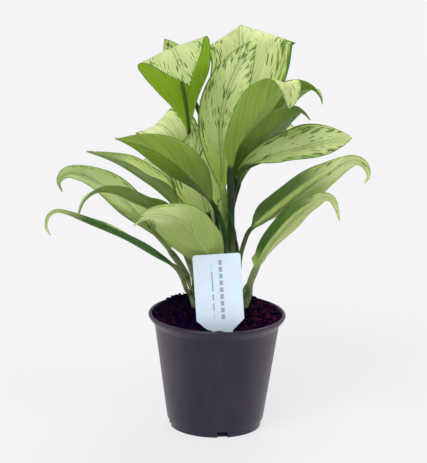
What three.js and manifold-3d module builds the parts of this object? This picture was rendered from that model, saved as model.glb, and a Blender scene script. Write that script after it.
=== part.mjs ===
// A potted Chinese evergreen: a tapered nursery pot filled with bark soil, six short canes standing in
// plain holes in the soil, leaves sheathing the canes, and a blank plant label pushed in at the front.
// Millimetres, +Z up, +X to the right and -Y towards the viewer. The origin is on the surface that the pot
// stands on, at the pot's axis.
import * as THREE from "three";
import { mergeVertices } from "three/addons/utils/BufferGeometryUtils.js";
import Module from "manifold-3d";

const wasm = await Module();
wasm.setup();

// Driving dimensions.
const CLEARANCE = 0.3;
const POT = {
  height: 102,
  rimRadius: 60,
  rimDrop: 8.5,
  shoulderRadius: 54.4,
  footRadius: 41.6,
  footHeight: 7,
  footInset: 1.6,
  wall: 1.8,
  floorThickness: 2.2,
  segments: 44,
};
const DRAIN = { count: 4, firstDegrees: -80.5, width: 9, height: 5.2, depth: 9 };
const SOIL = { edgeHeight: 100.2, lean: 1.6, moundRise: 2.6, steepness: 6, lumps: 0.7, rings: 7, segments: 44 };
const LABEL = {
  width: 41,
  top: 166,
  shoulder: 108,
  taperEnd: 98,
  stakeWidth: 20,
  bottom: 62,
  thickness: 0.8,
  corner: 2.5,
  x: 3.6,
  y: -42,
  pivot: 99,
  leanDegrees: -4.6,
  tiltDegrees: 2,
};
const CANE = { sides: 10, bottom: 52, ringStep: 24, ringSwell: 0.35 };
const BLADE = {
  margin: 0.7,
  ribBase: 1.9,
  ribTip: 0.9,
  tipHalf: 0.9,
  tail: 2.2,
  baseCurve: 2.1,
  tipCurve: 1.8,
  tipDraw: 1.25,
  joinShare: 0.07,
};
const SHEATH = { half: 5.2, thickness: 1.5, share: 0.34, firstRise: 13, firstGap: 2.6 };
const STEPS = { petiole: 5, blade: 11, across: 6, dense: 240 };

// The canes: points on the axis from the soil up, and the radius at the foot and the tip.
const CANES = {
  left: { path: [[-14, 1, CANE.bottom], [-16, 1, 100], [-19, 1, 126], [-21, 1, 144]], radius: [4.4, 3.5] },
  centre: { path: [[8, 0, CANE.bottom], [9, 0, 110], [11, 0, 158]], radius: [4.8, 3.5] },
  inner: { path: [[4, 17, CANE.bottom], [6, 17, 110], [7, 18, 156]], radius: [4.8, 3.5] },
  right: { path: [[20, 4, CANE.bottom], [21, 4, 100], [23, 4, 122]], radius: [4.4, 3.6] },
  back: { path: [[-13, 32, CANE.bottom], [-14, 33, 110], [-16, 35, 158]], radius: [4.8, 3.5] },
  rear: { path: [[7, 38, CANE.bottom], [8, 39, 110], [9, 41, 146]], radius: [4.6, 3.5] },
};

// The leaves. seat is the height on the cane, and around is the direction of the sheath there, in degrees
// from +X towards +Y. path holds the points of the midrib after the sheath, and the blade starts at the
// point numbered blade. face is where the upper side looks at mid-blade. fold, curl and turn are degrees
// at the blade's base, middle and tip: the lift of each half from flat, its further rolling towards the
// margin, and the twist about the midrib.
const LEAVES = [
  {
    name: "leaf_crown_back", cane: "rear", seat: 132, around: 85, skew: -0.13, draw: 0.9, swell: 1.9, foldRight: [16, -24, -15],
    path: [
      [8, 43, 172], [9, 39, 194], [10, 41, 222], [12, 44, 246], [14, 48, 271], [15, 53, 295],
      [17, 60, 318], [16, 70, 335], [16, 84, 341], [18, 100, 336], [21, 114, 320], [25, 122, 301],
    ],
    blade: 2, width: 90, belly: 0.72, face: [-0.05, -0.85, 0.5],
    fold: [16, -38, -25], curl: [16, 0, 0], turn: [0, 0, 0], wave: [1.5, 2, 0],
  },
  {
    name: "leaf_crown_front", cane: "inner", seat: 142, around: 125, stalk: 3, neck: 7, draw: 1,
    path: [
      [4, 18, 174], [6, 9, 192], [3, 3, 210], [2, 2, 240], [0, 3, 264], [2, 6, 284], [8, 11, 304],
      [15, 18, 319], [23, 27, 331], [30, 37, 338],
    ],
    blade: 2, width: 42, belly: 0.5, face: [-0.15, -0.95, 0.25],
    fold: [35, 20, 4], curl: [10, 0, 0], turn: [0, 0, 0], wave: [1.5, 2, 1],
  },
  {
    name: "leaf_top_left", cane: "back", seat: 134, around: -60, foldRight: [48, -13, 8], draw: 1.1, swell: 1.4,
    path: [
      [-15, 31, 172], [-21, 37, 202], [-27, 35, 252], [-29, 32, 271], [-32, 27, 289],
      [-36, 19, 309], [-41, 7, 327], [-43, -6, 337], [-39, -18, 334], [-33, -26, 322],
      [-27, -30, 310],
    ],
    blade: 2, width: 66, belly: 0.64, face: [-0.28, 0.8, 0.45],
    fold: [48, -9, 8], curl: [10, 0, 0], turn: [0, 0, 0], wave: [1, 2, 0],
  },
  {
    name: "leaf_top_left_behind", cane: "back", seat: 146, around: 60, draw: 0.9,
    path: [
      [-12, 43, 175], [-11, 49, 215], [-15, 56, 256], [-27, 56, 286], [-39, 48, 314],
      [-50, 40, 336],
    ],
    blade: 3, width: 26, belly: 0.5, face: [0.2, -0.9, 0.3],
    fold: [40, 20, 10], curl: [10, 0, 0], turn: [0, 0, 0], wave: [0, 2, 0],
  },
  {
    name: "leaf_left_back", cane: "back", seat: 120, around: 150,
    path: [
      [-23, 40, 168], [-23, 40, 193], [-29, 40, 221], [-36, 44, 239], [-46, 50, 251],
      [-55, 58, 255], [-61, 68, 249], [-64, 78, 237],
    ],
    blade: 2, width: 54, belly: 0.5, face: [0.2, -0.7, 0.7],
    fold: [35, 14, 8], curl: [10, 0, 0], turn: [0, 0, 0], wave: [1, 2, 0],
  },
  {
    name: "leaf_front_left", cane: "centre", seat: 136, around: -150, skew: 0.1,
    path: [
      [6, -15, 172], [1, -16, 191], [-6, -18, 205], [-21, -27, 226], [-42, -38, 248],
      [-65, -44, 261], [-89, -44, 266],
    ],
    blade: 2, width: 37, belly: 0.52, face: [0.1, 0.9, 0.4],
    fold: [30, 8, 5], curl: [10, 0, 0], turn: [0, 0, 0], wave: [0.5, 2, 0],
  },
  {
    name: "leaf_left_middle_back", cane: "left", seat: 126, around: 70, foldRight: [50, 30, 30],
    path: [
      [-22, 14, 144], [-29, 18, 169], [-36, 20, 188], [-52, 19, 205], [-69, 16, 218],
      [-86, 11, 230], [-101, 6, 238], [-115, 0, 244],
    ],
    blade: 2, width: 33, belly: 0.38, face: [0.3, -0.3, 0.9],
    fold: [70, 50, 40], curl: [10, 0, 0], turn: [0, 0, 0], wave: [1, 2, 0],
  },
  {
    name: "leaf_left_upper", cane: "left", seat: 120, around: -176, stalk: 2.8,
    path: [
      [-27, -4, 136], [-32, -9, 146], [-39, -13, 157], [-59, -18, 181], [-83, -22, 207],
      [-104, -25, 222], [-119, -27, 229], [-130, -28, 230], [-136, -29, 224], [-134, -28, 215],
    ],
    blade: 2, width: 36, belly: 0.5, face: [0.4, -0.5, 0.75],
    fold: [40, 12, 30], curl: [10, 0, 0], turn: [0, 0, 0], wave: [1, 2, 0],
  },
  {
    name: "leaf_left_middle", cane: "left", seat: 116, around: -70, tail: 3.2,
    path: [
      [-20, -11, 134], [-26, -17, 154], [-35, -23, 171], [-50, -35, 197], [-71, -49, 213],
      [-88, -61, 223], [-102, -70, 226], [-112, -76, 220], [-118, -79, 206],
    ],
    blade: 2, width: 30, belly: 0.42, face: [0.1, 0.5, 0.85],
    fold: [40, 15, 20], curl: [10, 0, 0], turn: [0, 0, 0], wave: [1, 2, 0],
  },
  {
    name: "leaf_left_lower", cane: "left", seat: 106, around: -154, tail: 2.4,
    path: [
      [-27, -10, 125], [-31, -17, 138], [-37, -26, 150], [-55, -42, 165], [-79, -54, 182],
      [-102, -62, 194], [-117, -65, 201], [-127, -68, 206], [-136, -70, 208], [-142, -71, 204],
      [-144, -71, 196], [-141, -71, 188],
    ],
    blade: 2, width: 13, belly: 0.45, face: [0.25, 0.2, 0.95],
    fold: [45, 50, 35], curl: [10, 0, 0], turn: [0, 0, 0], wave: [1, 2, 0],
  },
  {
    name: "leaf_front", cane: "centre", seat: 106, around: -130, skew: -0.16, draw: 1.05, swell: 2.6,
    path: [
      [-2, -12, 117], [-3, -20, 134], [-6, -27, 152], [-11, -38, 168], [-17, -49, 180],
      [-26, -60, 193], [-34, -71, 203], [-44, -78, 208], [-55, -82, 210], [-64, -84, 207],
      [-71, -85, 201],
    ],
    blade: 1, width: 48, belly: 0.55, face: [-0.1, 0.85, 0.5],
    fold: [22, 14, 18], curl: [10, 0, 0], turn: [0, 0, 0], wave: [1, 2, 0],
  },
  {
    name: "leaf_upright", cane: "inner", seat: 110, around: 165,
    path: [
      [-3, 16, 140], [-2, 16, 159], [-9, 16, 186], [-16, 17, 212], [-20, 19, 234], [-19, 22, 250],
      [-18, 27, 260], [-19, 34, 261],
    ],
    blade: 2, width: 50, belly: 0.42, face: [-0.15, -0.95, 0.2],
    fold: [15, 10, 10], curl: [10, 0, 0], turn: [0, 0, 0], wave: [1, 2, 0],
  },
  {
    name: "leaf_right_front", cane: "centre", seat: 124, around: -70, stalk: 3, draw: 0.7,
    path: [
      [11, -9, 170], [10, -14, 207], [9, -16, 234], [13, -20, 252], [21, -26, 269], [29, -33, 284],
      [38, -41, 300], [46, -49, 313], [52, -57, 319], [56, -62, 314], [57, -64, 306],
      [56, -65, 299],
    ],
    blade: 2, width: 43, belly: 0.6, face: [-0.5, 0.8, 0.3],
    fold: [40, 22, 8], curl: [10, 0, 0], turn: [0, 0, 0], wave: [1, 2, 0],
  },
  {
    name: "leaf_right_crest", cane: "inner", seat: 132, around: 5, draw: 1.05, tail: 2.8,
    path: [
      [14, 20, 165], [10, 17, 186], [18, 13, 220], [32, 12, 254], [47, 9, 281], [61, 4, 296],
      [72, -2, 303], [79, -8, 303], [84, -12, 298], [86, -13, 292],
    ],
    blade: 2, width: 40, belly: 0.58, face: [-0.3, 0.75, 0.6],
    fold: [35, 20, 20], curl: [10, 0, 0], turn: [0, 0, 0], wave: [1, 2, 0],
  },
  {
    name: "leaf_right_inner", cane: "inner", seat: 118, around: -40,
    path: [
      [14, 9, 155], [11, 8, 188], [16, 7, 213], [25, 4, 236], [36, 2, 256], [49, -2, 271],
      [60, -6, 281], [65, -9, 285], [71, -12, 283], [76, -13, 278],
    ],
    blade: 2, width: 38, belly: 0.5, face: [-0.2, 0.8, 0.55],
    fold: [35, 20, 20], curl: [10, 0, 0], turn: [0, 0, 0], wave: [1, 2, 0],
  },
  {
    name: "leaf_right_upper", cane: "centre", seat: 142, around: 25, skew: 0.1, draw: 0.85, swell: 1.7, foldRight: [98, 34, 0],
    path: [
      [11, -1, 181], [12, -3, 207], [15, -6, 222], [22, -10, 233], [36, -16, 242], [49, -21, 249],
      [67, -27, 256], [88, -31, 263], [111, -33, 268],
    ],
    blade: 2, width: 38, belly: 0.62, face: [0.1, -0.75, 0.65],
    fold: [30, 8, 5], curl: [0, 0, 0], turn: [0, 0, 0], wave: [1, 2, 0],
  },
  {
    name: "leaf_right_middle", cane: "centre", seat: 110, around: -8, draw: 1.25, swell: 2.9, skew: 0.18,
    path: [
      [18, -2, 135], [19, -8, 154], [22, -11, 168], [27, -14, 181], [39, -19, 190], [52, -24, 202],
      [65, -30, 215], [79, -36, 228], [92, -40, 238], [104, -43, 247], [113, -45, 251],
      [121, -46, 248], [125, -47, 239], [122, -47, 232],
    ],
    blade: 3, width: 42, belly: 0.4, face: [-0.35, 0.8, 0.45],
    fold: [30, 14, 12], curl: [10, 0, 0], turn: [0, 0, 0], wave: [1, 2, 0],
  },
  {
    name: "leaf_right_lower", cane: "right", seat: 106, around: -45, stalk: 3, draw: 1.15, swell: 2.4, neck: 8,
    path: [
      [28, -9, 131], [32, -12, 144], [38, -16, 157], [47, -20, 172], [58, -25, 187],
      [69, -29, 200], [80, -32, 209], [87, -34, 215], [94, -36, 215], [99, -38, 207],
      [102, -39, 197],
    ],
    blade: 1, width: 25, belly: 0.45, face: [-0.4, 0.9, 0.2],
    fold: [28, 20, 12], curl: [10, 0, 0], turn: [0, 0, 0], wave: [1, 2, 0],
  },
  {
    name: "leaf_rear_left_low", cane: "left", seat: 110, around: 95,
    path: [
      [-24, 18, 136], [-32, 28, 152], [-46, 42, 168], [-62, 54, 180], [-78, 64, 184],
      [-90, 70, 178],
    ],
    blade: 1, width: 38, belly: 0.45, face: [0.2, -0.2, 0.95],
    fold: [40, 14, 10], curl: [0, 0, 0], turn: [0, 0, 0], wave: [1, 2, 0],
  },
  {
    name: "leaf_rear_left", cane: "back", seat: 106, around: 130,
    path: [
      [-24, 48, 140], [-28, 56, 165], [-36, 66, 190], [-50, 80, 208], [-66, 94, 214],
      [-80, 104, 206],
    ],
    blade: 1, width: 44, belly: 0.45, face: [0.2, -0.3, 0.9],
    fold: [40, 14, 10], curl: [0, 0, 0], turn: [0, 0, 0], wave: [1, 2, 0],
  },
  {
    name: "leaf_rear_middle_low", cane: "rear", seat: 106, around: 110,
    path: [[4, 58, 134], [-1, 68, 154], [-5, 82, 172], [-9, 98, 180], [-13, 112, 176], [-15, 122, 164]],
    blade: 1, width: 42, belly: 0.45, face: [0, -0.3, 0.95],
    fold: [40, 14, 10], curl: [0, 0, 0], turn: [0, 0, 0], wave: [1, 2, 0],
  },
  {
    name: "leaf_rear_middle", cane: "rear", seat: 120, around: 165,
    path: [[0, 50, 155], [-4, 58, 190], [-8, 66, 213], [-14, 80, 229], [-20, 96, 235], [-26, 112, 228]],
    blade: 2, width: 46, belly: 0.45, face: [0, -0.5, 0.85],
    fold: [40, 14, 10], curl: [0, 0, 0], turn: [0, 0, 0], wave: [1, 2, 0],
  },
  {
    name: "leaf_rear_right", cane: "rear", seat: 114, around: 15,
    path: [[13, 52, 150], [12, 54, 195], [18, 55, 226], [38, 60, 245], [60, 66, 250], [80, 72, 244]],
    blade: 2, width: 36, belly: 0.45, face: [-0.1, -0.3, 0.95],
    fold: [40, 14, 10], curl: [0, 0, 0], turn: [0, 0, 0], wave: [1, 2, 0],
  },
  {
    name: "leaf_rear_right_low", cane: "right", seat: 107, around: 80,
    path: [[31, 16, 129], [37, 24, 142], [46, 36, 153], [57, 48, 164], [67, 58, 171], [74, 66, 173]],
    blade: 1, width: 18, belly: 0.45, face: [-0.1, -0.2, 0.95],
    fold: [40, 14, 10], curl: [0, 0, 0], turn: [0, 0, 0], wave: [1, 2, 0],
  },
];

const lerp = THREE.MathUtils.lerp;
const radians = THREE.MathUtils.degToRad;
const smooth = (t) => t * t * (3 - 2 * t);
const clamp01 = (t) => Math.min(1, Math.max(0, t));
const vector = (p) => new THREE.Vector3(...p);

// A value given at the blade's base, middle and tip, read at t from 0 to 1.
function staged([base, middle, tip], t) {
  return t < 0.5 ? lerp(base, middle, smooth(2 * t)) : lerp(middle, tip, smooth(2 * t - 1));
}

// A closed mesh as a manifold solid, and back again.
function toSolid(geometry) {
  const bare = new THREE.BufferGeometry().setAttribute("position", geometry.getAttribute("position"));
  bare.setIndex(geometry.index);
  const merged = mergeVertices(bare, 1e-4);
  return new wasm.Manifold(
    new wasm.Mesh({
      numProp: 3,
      vertProperties: merged.attributes.position.array,
      triVerts: new Uint32Array(merged.index.array),
    }),
  );
}

function toGeometry(solid) {
  const mesh = solid.getMesh();
  const geometry = new THREE.BufferGeometry();
  geometry.setAttribute("position", new THREE.BufferAttribute(mesh.vertProperties, 3));
  geometry.setIndex(new THREE.BufferAttribute(mesh.triVerts, 1));
  return geometry;
}

// Closed surface through rings of points: each ring is one loop, and both ends get a fan.
function loft(rings) {
  const around = rings[0].length;
  const points = rings.flat();
  const index = [];
  for (let i = 0; i + 1 < rings.length; i += 1) {
    for (let j = 0; j < around; j += 1) {
      const a = i * around + j;
      const b = i * around + ((j + 1) % around);
      index.push(a, b, b + around, a, b + around, a + around);
    }
  }
  const middle = (ring) => ring.reduce((sum, p) => sum.add(p), new THREE.Vector3()).divideScalar(around);
  const last = (rings.length - 1) * around;
  points.push(middle(rings[0]), middle(rings.at(-1)));
  for (let j = 0; j < around; j += 1) {
    index.push(j, points.length - 2, (j + 1) % around);
    index.push(last + j, last + ((j + 1) % around), points.length - 1);
  }
  const geometry = new THREE.BufferGeometry().setFromPoints(points);
  geometry.setIndex(index);
  return geometry;
}

// A cane's axis as a curve, and its radius at a height.
function caneOf(name) {
  const { path, radius } = CANES[name];
  const curve = new THREE.CatmullRomCurve3(path.map(vector), false, "centripetal");
  const top = path.at(-1)[2];
  const shareAt = (z) => {
    let low = 0;
    let high = 1;
    for (let i = 0; i < 40; i += 1) {
      const middle = (low + high) / 2;
      if (curve.getPoint(middle).z < z) low = middle;
      else high = middle;
    }
    return (low + high) / 2;
  };
  return {
    curve,
    top,
    at: (z) => curve.getPoint(shareAt(z)),
    along: (z) => curve.getTangent(shareAt(z)),
    radiusAt: (z) => lerp(radius[0], radius[1], clamp01((z - CANE.bottom) / (top - CANE.bottom))),
  };
}

function makeCane(name) {
  const cane = caneOf(name);
  const heights = [];
  for (let z = CANE.bottom; z < cane.top - 3; z += CANE.ringStep / 2) heights.push(z);
  heights.push(cane.top - 2, cane.top - 0.6);
  const rings = heights.map((z, i) => {
    const centre = cane.at(z);
    const round = z > cane.top - 1 ? 0.55 : 1;
    const swell = i % 2 === 0 ? CANE.ringSwell : 0;
    const radius = (cane.radiusAt(z) - CANE.ringSwell + swell) * round;
    return Array.from({ length: CANE.sides }, (_, j) => {
      const angle = (2 * Math.PI * j) / CANE.sides;
      return new THREE.Vector3(radius * Math.cos(angle), radius * Math.sin(angle), 0).add(centre);
    });
  });
  return loft(rings);
}

// The midrib of a leaf as dense samples of place, tangent and the direction that the upper side faces.
function midrib(leaf) {
  const cane = caneOf(leaf.cane);
  const around = radians(leaf.around);
  const out = new THREE.Vector3(Math.cos(around), Math.sin(around), 0);
  const first = cane.radiusAt(leaf.seat) + CLEARANCE + SHEATH.thickness / 2;
  const second = cane.radiusAt(leaf.seat) + CLEARANCE + SHEATH.firstGap;
  const start = cane.at(leaf.seat).addScaledVector(out, first);
  const next = cane.at(leaf.seat + SHEATH.firstRise).addScaledVector(out, second);
  const points = [start, next, ...leaf.path.map(vector)];
  const curve = new THREE.CatmullRomCurve3(points, false, "centripetal");
  const place = [];
  const tangent = [];
  const length = [0];
  for (let i = 0; i <= STEPS.dense; i += 1) {
    place.push(curve.getPoint(i / STEPS.dense));
    tangent.push(curve.getTangent(i / STEPS.dense));
    if (i) length.push(length[i - 1] + place[i].distanceTo(place[i - 1]));
  }
  const bladeSample = Math.round(((leaf.blade + 2) / (points.length - 1)) * STEPS.dense);
  const bladeStart = length[bladeSample];
  const total = length.at(-1);
  const indexAt = (distance) => length.findIndex((l) => l >= distance - 1e-9);
  const middle = indexAt((bladeStart + total) / 2);
  const square = (v, t) => v.clone().addScaledVector(t, -v.dot(t)).normalize();
  const up = new Array(place.length);
  up[middle] = square(vector(leaf.face), tangent[middle]);
  for (let i = middle + 1; i < place.length; i += 1) up[i] = square(up[i - 1], tangent[i]);
  for (let i = middle - 1; i >= 0; i -= 1) up[i] = square(up[i + 1], tangent[i]);
  // The sheath faces the cane, so the stalk turns from there to the blade.
  const inward = square(out.clone().negate(), tangent[0]);
  const twist = Math.atan2(
    new THREE.Vector3().crossVectors(up[0], inward).dot(tangent[0]),
    up[0].dot(inward),
  );
  const at = (distance) => {
    const i = Math.min(place.length - 2, Math.max(0, indexAt(distance) - 1));
    const f = clamp01((distance - length[i]) / (length[i + 1] - length[i]));
    const share = clamp01((distance - bladeStart) / (total - bladeStart));
    const stalk = 1 - clamp01(distance / bladeStart);
    const turn = twist * smooth(stalk) + radians(staged(leaf.turn, share));
    const t = tangent[i].clone().lerp(tangent[i + 1], f).normalize();
    const n = square(up[i].clone().lerp(up[i + 1], f), t).applyAxisAngle(t, turn);
    return {
      place: place[i].clone().lerp(place[i + 1], f),
      up: n,
      side: new THREE.Vector3().crossVectors(t, n),
      share,
      stalk: clamp01(distance / bladeStart),
    };
  };
  return { at, bladeStart, total, seatRadius: first };
}

// Half width of the blade, from 0 at its base to 1 at its tip: round at the base and drawn out at the tip.
function outline(leaf, t) {
  const rising = t < leaf.belly;
  const u = rising ? t / leaf.belly : (t - leaf.belly) / (1 - leaf.belly);
  const draw = leaf.draw ?? BLADE.tipDraw;
  const swell = leaf.swell ?? BLADE.baseCurve;
  const share = rising ? (1 - (1 - u) ** swell) ** 0.9 : (1 - u ** BLADE.tipCurve) ** draw;
  const neck = (leaf.neck ?? 0) * smooth(clamp01(t / 0.08)) * (1 - smooth(clamp01(t / 0.5)));
  return Math.max((leaf.width / 2) * share, neck);
}

// One ring of a leaf: the upper points from margin to margin, then the lower ones, both as [side, up].
function section(leaf, spot, seatRadius) {
  const { share, stalk } = spot;
  const stalkRadius = leaf.stalk ?? 2;
  const sheath = 1 - smooth(clamp01(stalk / SHEATH.share));
  const inBlade = stalk >= 1;
  const round = inBlade ? 1 - smooth(clamp01(share / BLADE.joinShare)) : 1 - sheath;
  const tail = (leaf.tail ?? BLADE.tail) * Math.min(1, (1 - share) / 0.06) ** 0.6;
  const half = inBlade
    ? Math.max(outline(leaf, share), share < 0.5 ? stalkRadius : Math.max(tail, BLADE.tipHalf))
    : lerp(stalkRadius, SHEATH.half, sheath);
  const folds = [leaf.fold, leaf.foldRight ?? leaf.fold].map((f) => (inBlade ? radians(staged(f, share)) : 0));
  const curl = inBlade ? radians(staged(leaf.curl, share)) : half / seatRadius;
  const [height, count, phase] = leaf.wave;
  const swing = inBlade ? height * Math.sin(Math.PI * share) : 0;
  const rib = inBlade ? lerp(BLADE.ribBase, BLADE.ribTip, Math.sqrt(share)) : SHEATH.thickness;
  const upper = [];
  const lower = [];
  for (let j = 0; j <= STEPS.across; j += 1) {
    const s = (2 * j) / STEPS.across - 1;
    const a = Math.abs(s);
    const hand = Math.sign(s);
    const bend = Math.abs(curl) < 1e-6 ? 1e-6 : curl;
    const fold = folds[hand > 0 ? 1 : 0];
    const reach = half * (inBlade ? 1 - hand * (leaf.skew ?? 0) * Math.min(1, 4 * share) : 1);
    const x = (hand * reach * (Math.sin(fold + bend * a) - Math.sin(fold))) / bend;
    const lift = (reach * (Math.cos(fold) - Math.cos(fold + bend * a))) / bend;
    const ripple = swing * a * a * Math.sin(2 * Math.PI * count * share + phase + hand * 0.8);
    const angle = hand * (fold + bend * a);
    const thick = lerp(rib, BLADE.margin, Math.min(1, a * 1.6)) / 2;
    const dx = -Math.sin(angle) * thick;
    const dy = Math.cos(angle) * thick;
    const ring = (Math.PI * (j + 0.5)) / (STEPS.across + 1);
    const rx = -stalkRadius * Math.cos(ring);
    const ry = stalkRadius * Math.sin(ring);
    upper.push([lerp(x + dx, rx, round), lerp(lift + ripple + dy, ry, round)]);
    lower.push([lerp(x - dx, rx, round), lerp(lift + ripple - dy, -ry, round)]);
  }
  return { upper, lower };
}

// A leaf is one closed mesh: sheath, stalk and blade, with both faces split into triangles alike.
function makeLeaf(leaf) {
  const rib = midrib(leaf);
  const distances = [];
  for (let i = 0; i < STEPS.petiole; i += 1) {
    distances.push((rib.bladeStart * i) / STEPS.petiole);
  }
  for (let i = 0; i <= STEPS.blade; i += 1) {
    const even = i / STEPS.blade;
    const eased = (1 - Math.cos(Math.PI * even)) / 2;
    distances.push(lerp(rib.bladeStart, rib.total, (even + eased) / 2));
  }
  const points = [];
  const width = STEPS.across + 1;
  for (const distance of distances) {
    const spot = rib.at(distance);
    const { upper, lower } = section(leaf, spot, rib.seatRadius);
    for (const [x, y] of [...upper, ...lower]) {
      points.push(spot.place.clone().addScaledVector(spot.side, x).addScaledVector(spot.up, y));
    }
  }
  const index = [];
  const corner = (i, layer, j) => i * 2 * width + layer * width + j;
  const quad = (a, b, c, d) => index.push(a, b, c, a, c, d);
  for (let i = 0; i + 1 < distances.length; i += 1) {
    for (let j = 0; j + 1 < width; j += 1) {
      quad(corner(i, 0, j), corner(i, 0, j + 1), corner(i + 1, 0, j + 1), corner(i + 1, 0, j));
      const [a, b] = [corner(i, 1, j), corner(i, 1, j + 1)];
      const [c, d] = [corner(i + 1, 1, j + 1), corner(i + 1, 1, j)];
      index.push(a, c, b, a, d, c);
    }
    quad(corner(i, 1, 0), corner(i, 0, 0), corner(i + 1, 0, 0), corner(i + 1, 1, 0));
    const e = width - 1;
    quad(corner(i, 0, e), corner(i, 1, e), corner(i + 1, 1, e), corner(i + 1, 0, e));
  }
  const last = distances.length - 1;
  for (let j = 0; j + 1 < width; j += 1) {
    quad(corner(0, 0, j), corner(0, 1, j), corner(0, 1, j + 1), corner(0, 0, j + 1));
    quad(corner(last, 0, j + 1), corner(last, 1, j + 1), corner(last, 1, j), corner(last, 0, j));
  }
  const geometry = new THREE.BufferGeometry().setFromPoints(points);
  geometry.setIndex(index);
  const solid = toSolid(geometry);
  if (solid.volume() < 0) {
    for (let i = 0; i < index.length; i += 3) [index[i + 1], index[i + 2]] = [index[i + 2], index[i + 1]];
    geometry.setIndex(index);
  }
  return geometry;
}

function latheAround(profile, segments) {
  const lathe = new THREE.LatheGeometry(profile.map(([r, z]) => new THREE.Vector2(r, z)), segments);
  lathe.rotateX(Math.PI / 2);
  return lathe;
}

// The pot: tapered wall with a rolled collar, an inset foot, a flat floor and slots round the foot.
function makePot() {
  const p = POT;
  const underRim = p.height - p.rimDrop;
  const foot = p.footRadius - p.footInset;
  const floorTop = p.floorThickness;
  const outer = [
    [0, 0],
    [foot, 0],
    [foot + 0.4, p.footHeight - 1],
    [p.footRadius + 0.6, p.footHeight],
    [p.shoulderRadius, underRim - 1.5],
    [p.rimRadius - 4, underRim + 1.2],
    [p.rimRadius - 1, underRim + 4.6],
    [p.rimRadius, p.height - 2],
    [p.rimRadius - 0.6, p.height - 0.7],
    [p.rimRadius - 2, p.height],
    [p.rimRadius - 3.2, p.height - 0.4],
  ];
  const inner = [
    [p.shoulderRadius - p.wall + 1.4, underRim - 1],
    [foot - p.wall + 1, floorTop],
    [0, floorTop],
  ];
  const profile = [...outer, ...inner];
  let pot = toSolid(latheAround(profile, p.segments));
  if (pot.volume() < 0) pot = toSolid(latheAround(profile.reverse(), p.segments));
  for (let i = 0; i < DRAIN.count; i += 1) {
    const angle = radians(DRAIN.firstDegrees + (360 * i) / DRAIN.count);
    const slot = new THREE.BoxGeometry(DRAIN.depth, DRAIN.width, DRAIN.height + 2);
    slot.translate(p.footRadius - 0.5, 0, DRAIN.height / 2 - 1);
    slot.rotateZ(angle);
    slot.deleteAttribute("normal");
    slot.deleteAttribute("uv");
    pot = pot.subtract(toSolid(slot));
  }
  return toGeometry(pot);
}

// The soil fills the pot, with a low mound and lumps on top, and plain holes for the canes and the label.
function makeSoil() {
  const p = POT;
  const floorTop = p.floorThickness + CLEARANCE;
  const foot = p.footRadius - p.footInset - p.wall + 1;
  const underRim = p.height - p.rimDrop - 1;
  const wallAt = (z) => lerp(foot, p.shoulderRadius - p.wall + 1.4, (z - floorTop) / (underRim - floorTop));
  const lip = p.rimRadius - 3.2;
  const edge = lerp(wallAt(underRim), lip, (SOIL.edgeHeight - underRim) / (p.height - 0.4 - underRim)) - 0.8;
  const surface = (r, angle) => {
    const mound = SOIL.moundRise * (1 - (r / edge) ** SOIL.steepness);
    const lumps = Math.sin(r * 0.31 + 2 * Math.cos(3 * angle)) * Math.cos(5 * angle + r * 0.12);
    const lean = (SOIL.lean * r * Math.sin(angle)) / edge;
    return SOIL.edgeHeight + lean + mound + SOIL.lumps * lumps * (1 - (r / edge) ** 4);
  };
  const ring = (radius, heightAt) =>
    Array.from({ length: SOIL.segments }, (_, j) => {
      const angle = (2 * Math.PI * j) / SOIL.segments;
      return new THREE.Vector3(radius * Math.cos(angle), radius * Math.sin(angle), heightAt(angle));
    });
  const rings = [
    ring(foot - 1.4, () => floorTop),
    ring(wallAt(underRim) - 0.8, () => underRim),
    ring(edge, (angle) => surface(edge, angle)),
  ];
  for (let i = SOIL.rings - 1; i > 0; i -= 1) {
    const radius = (edge * i) / SOIL.rings;
    rings.push(ring(radius, (angle) => surface(radius, angle)));
  }
  let soil = toSolid(loft(rings));
  for (const name of Object.keys(CANES)) {
    const cane = caneOf(name);
    const foot = cane.at(CANE.bottom);
    const head = cane.at(SOIL.edgeHeight + SOIL.moundRise + 6);
    const direction = head.clone().sub(foot).normalize();
    const radius = cane.radiusAt(CANE.bottom) + CLEARANCE + 0.2;
    const height = head.distanceTo(foot) + 1;
    const hole = new THREE.CylinderGeometry(radius, radius, height, CANE.sides * 2);
    hole.rotateX(Math.PI / 2);
    hole.translate(0, 0, height / 2);
    hole.applyQuaternion(new THREE.Quaternion().setFromUnitVectors(new THREE.Vector3(0, 0, 1), direction));
    hole.translate(foot.x, foot.y, foot.z - CLEARANCE);
    soil = soil.subtract(toSolid(hole));
  }
  const slot = makeLabel(CLEARANCE);
  soil = soil.subtract(toSolid(slot));
  return toGeometry(soil);
}

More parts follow.
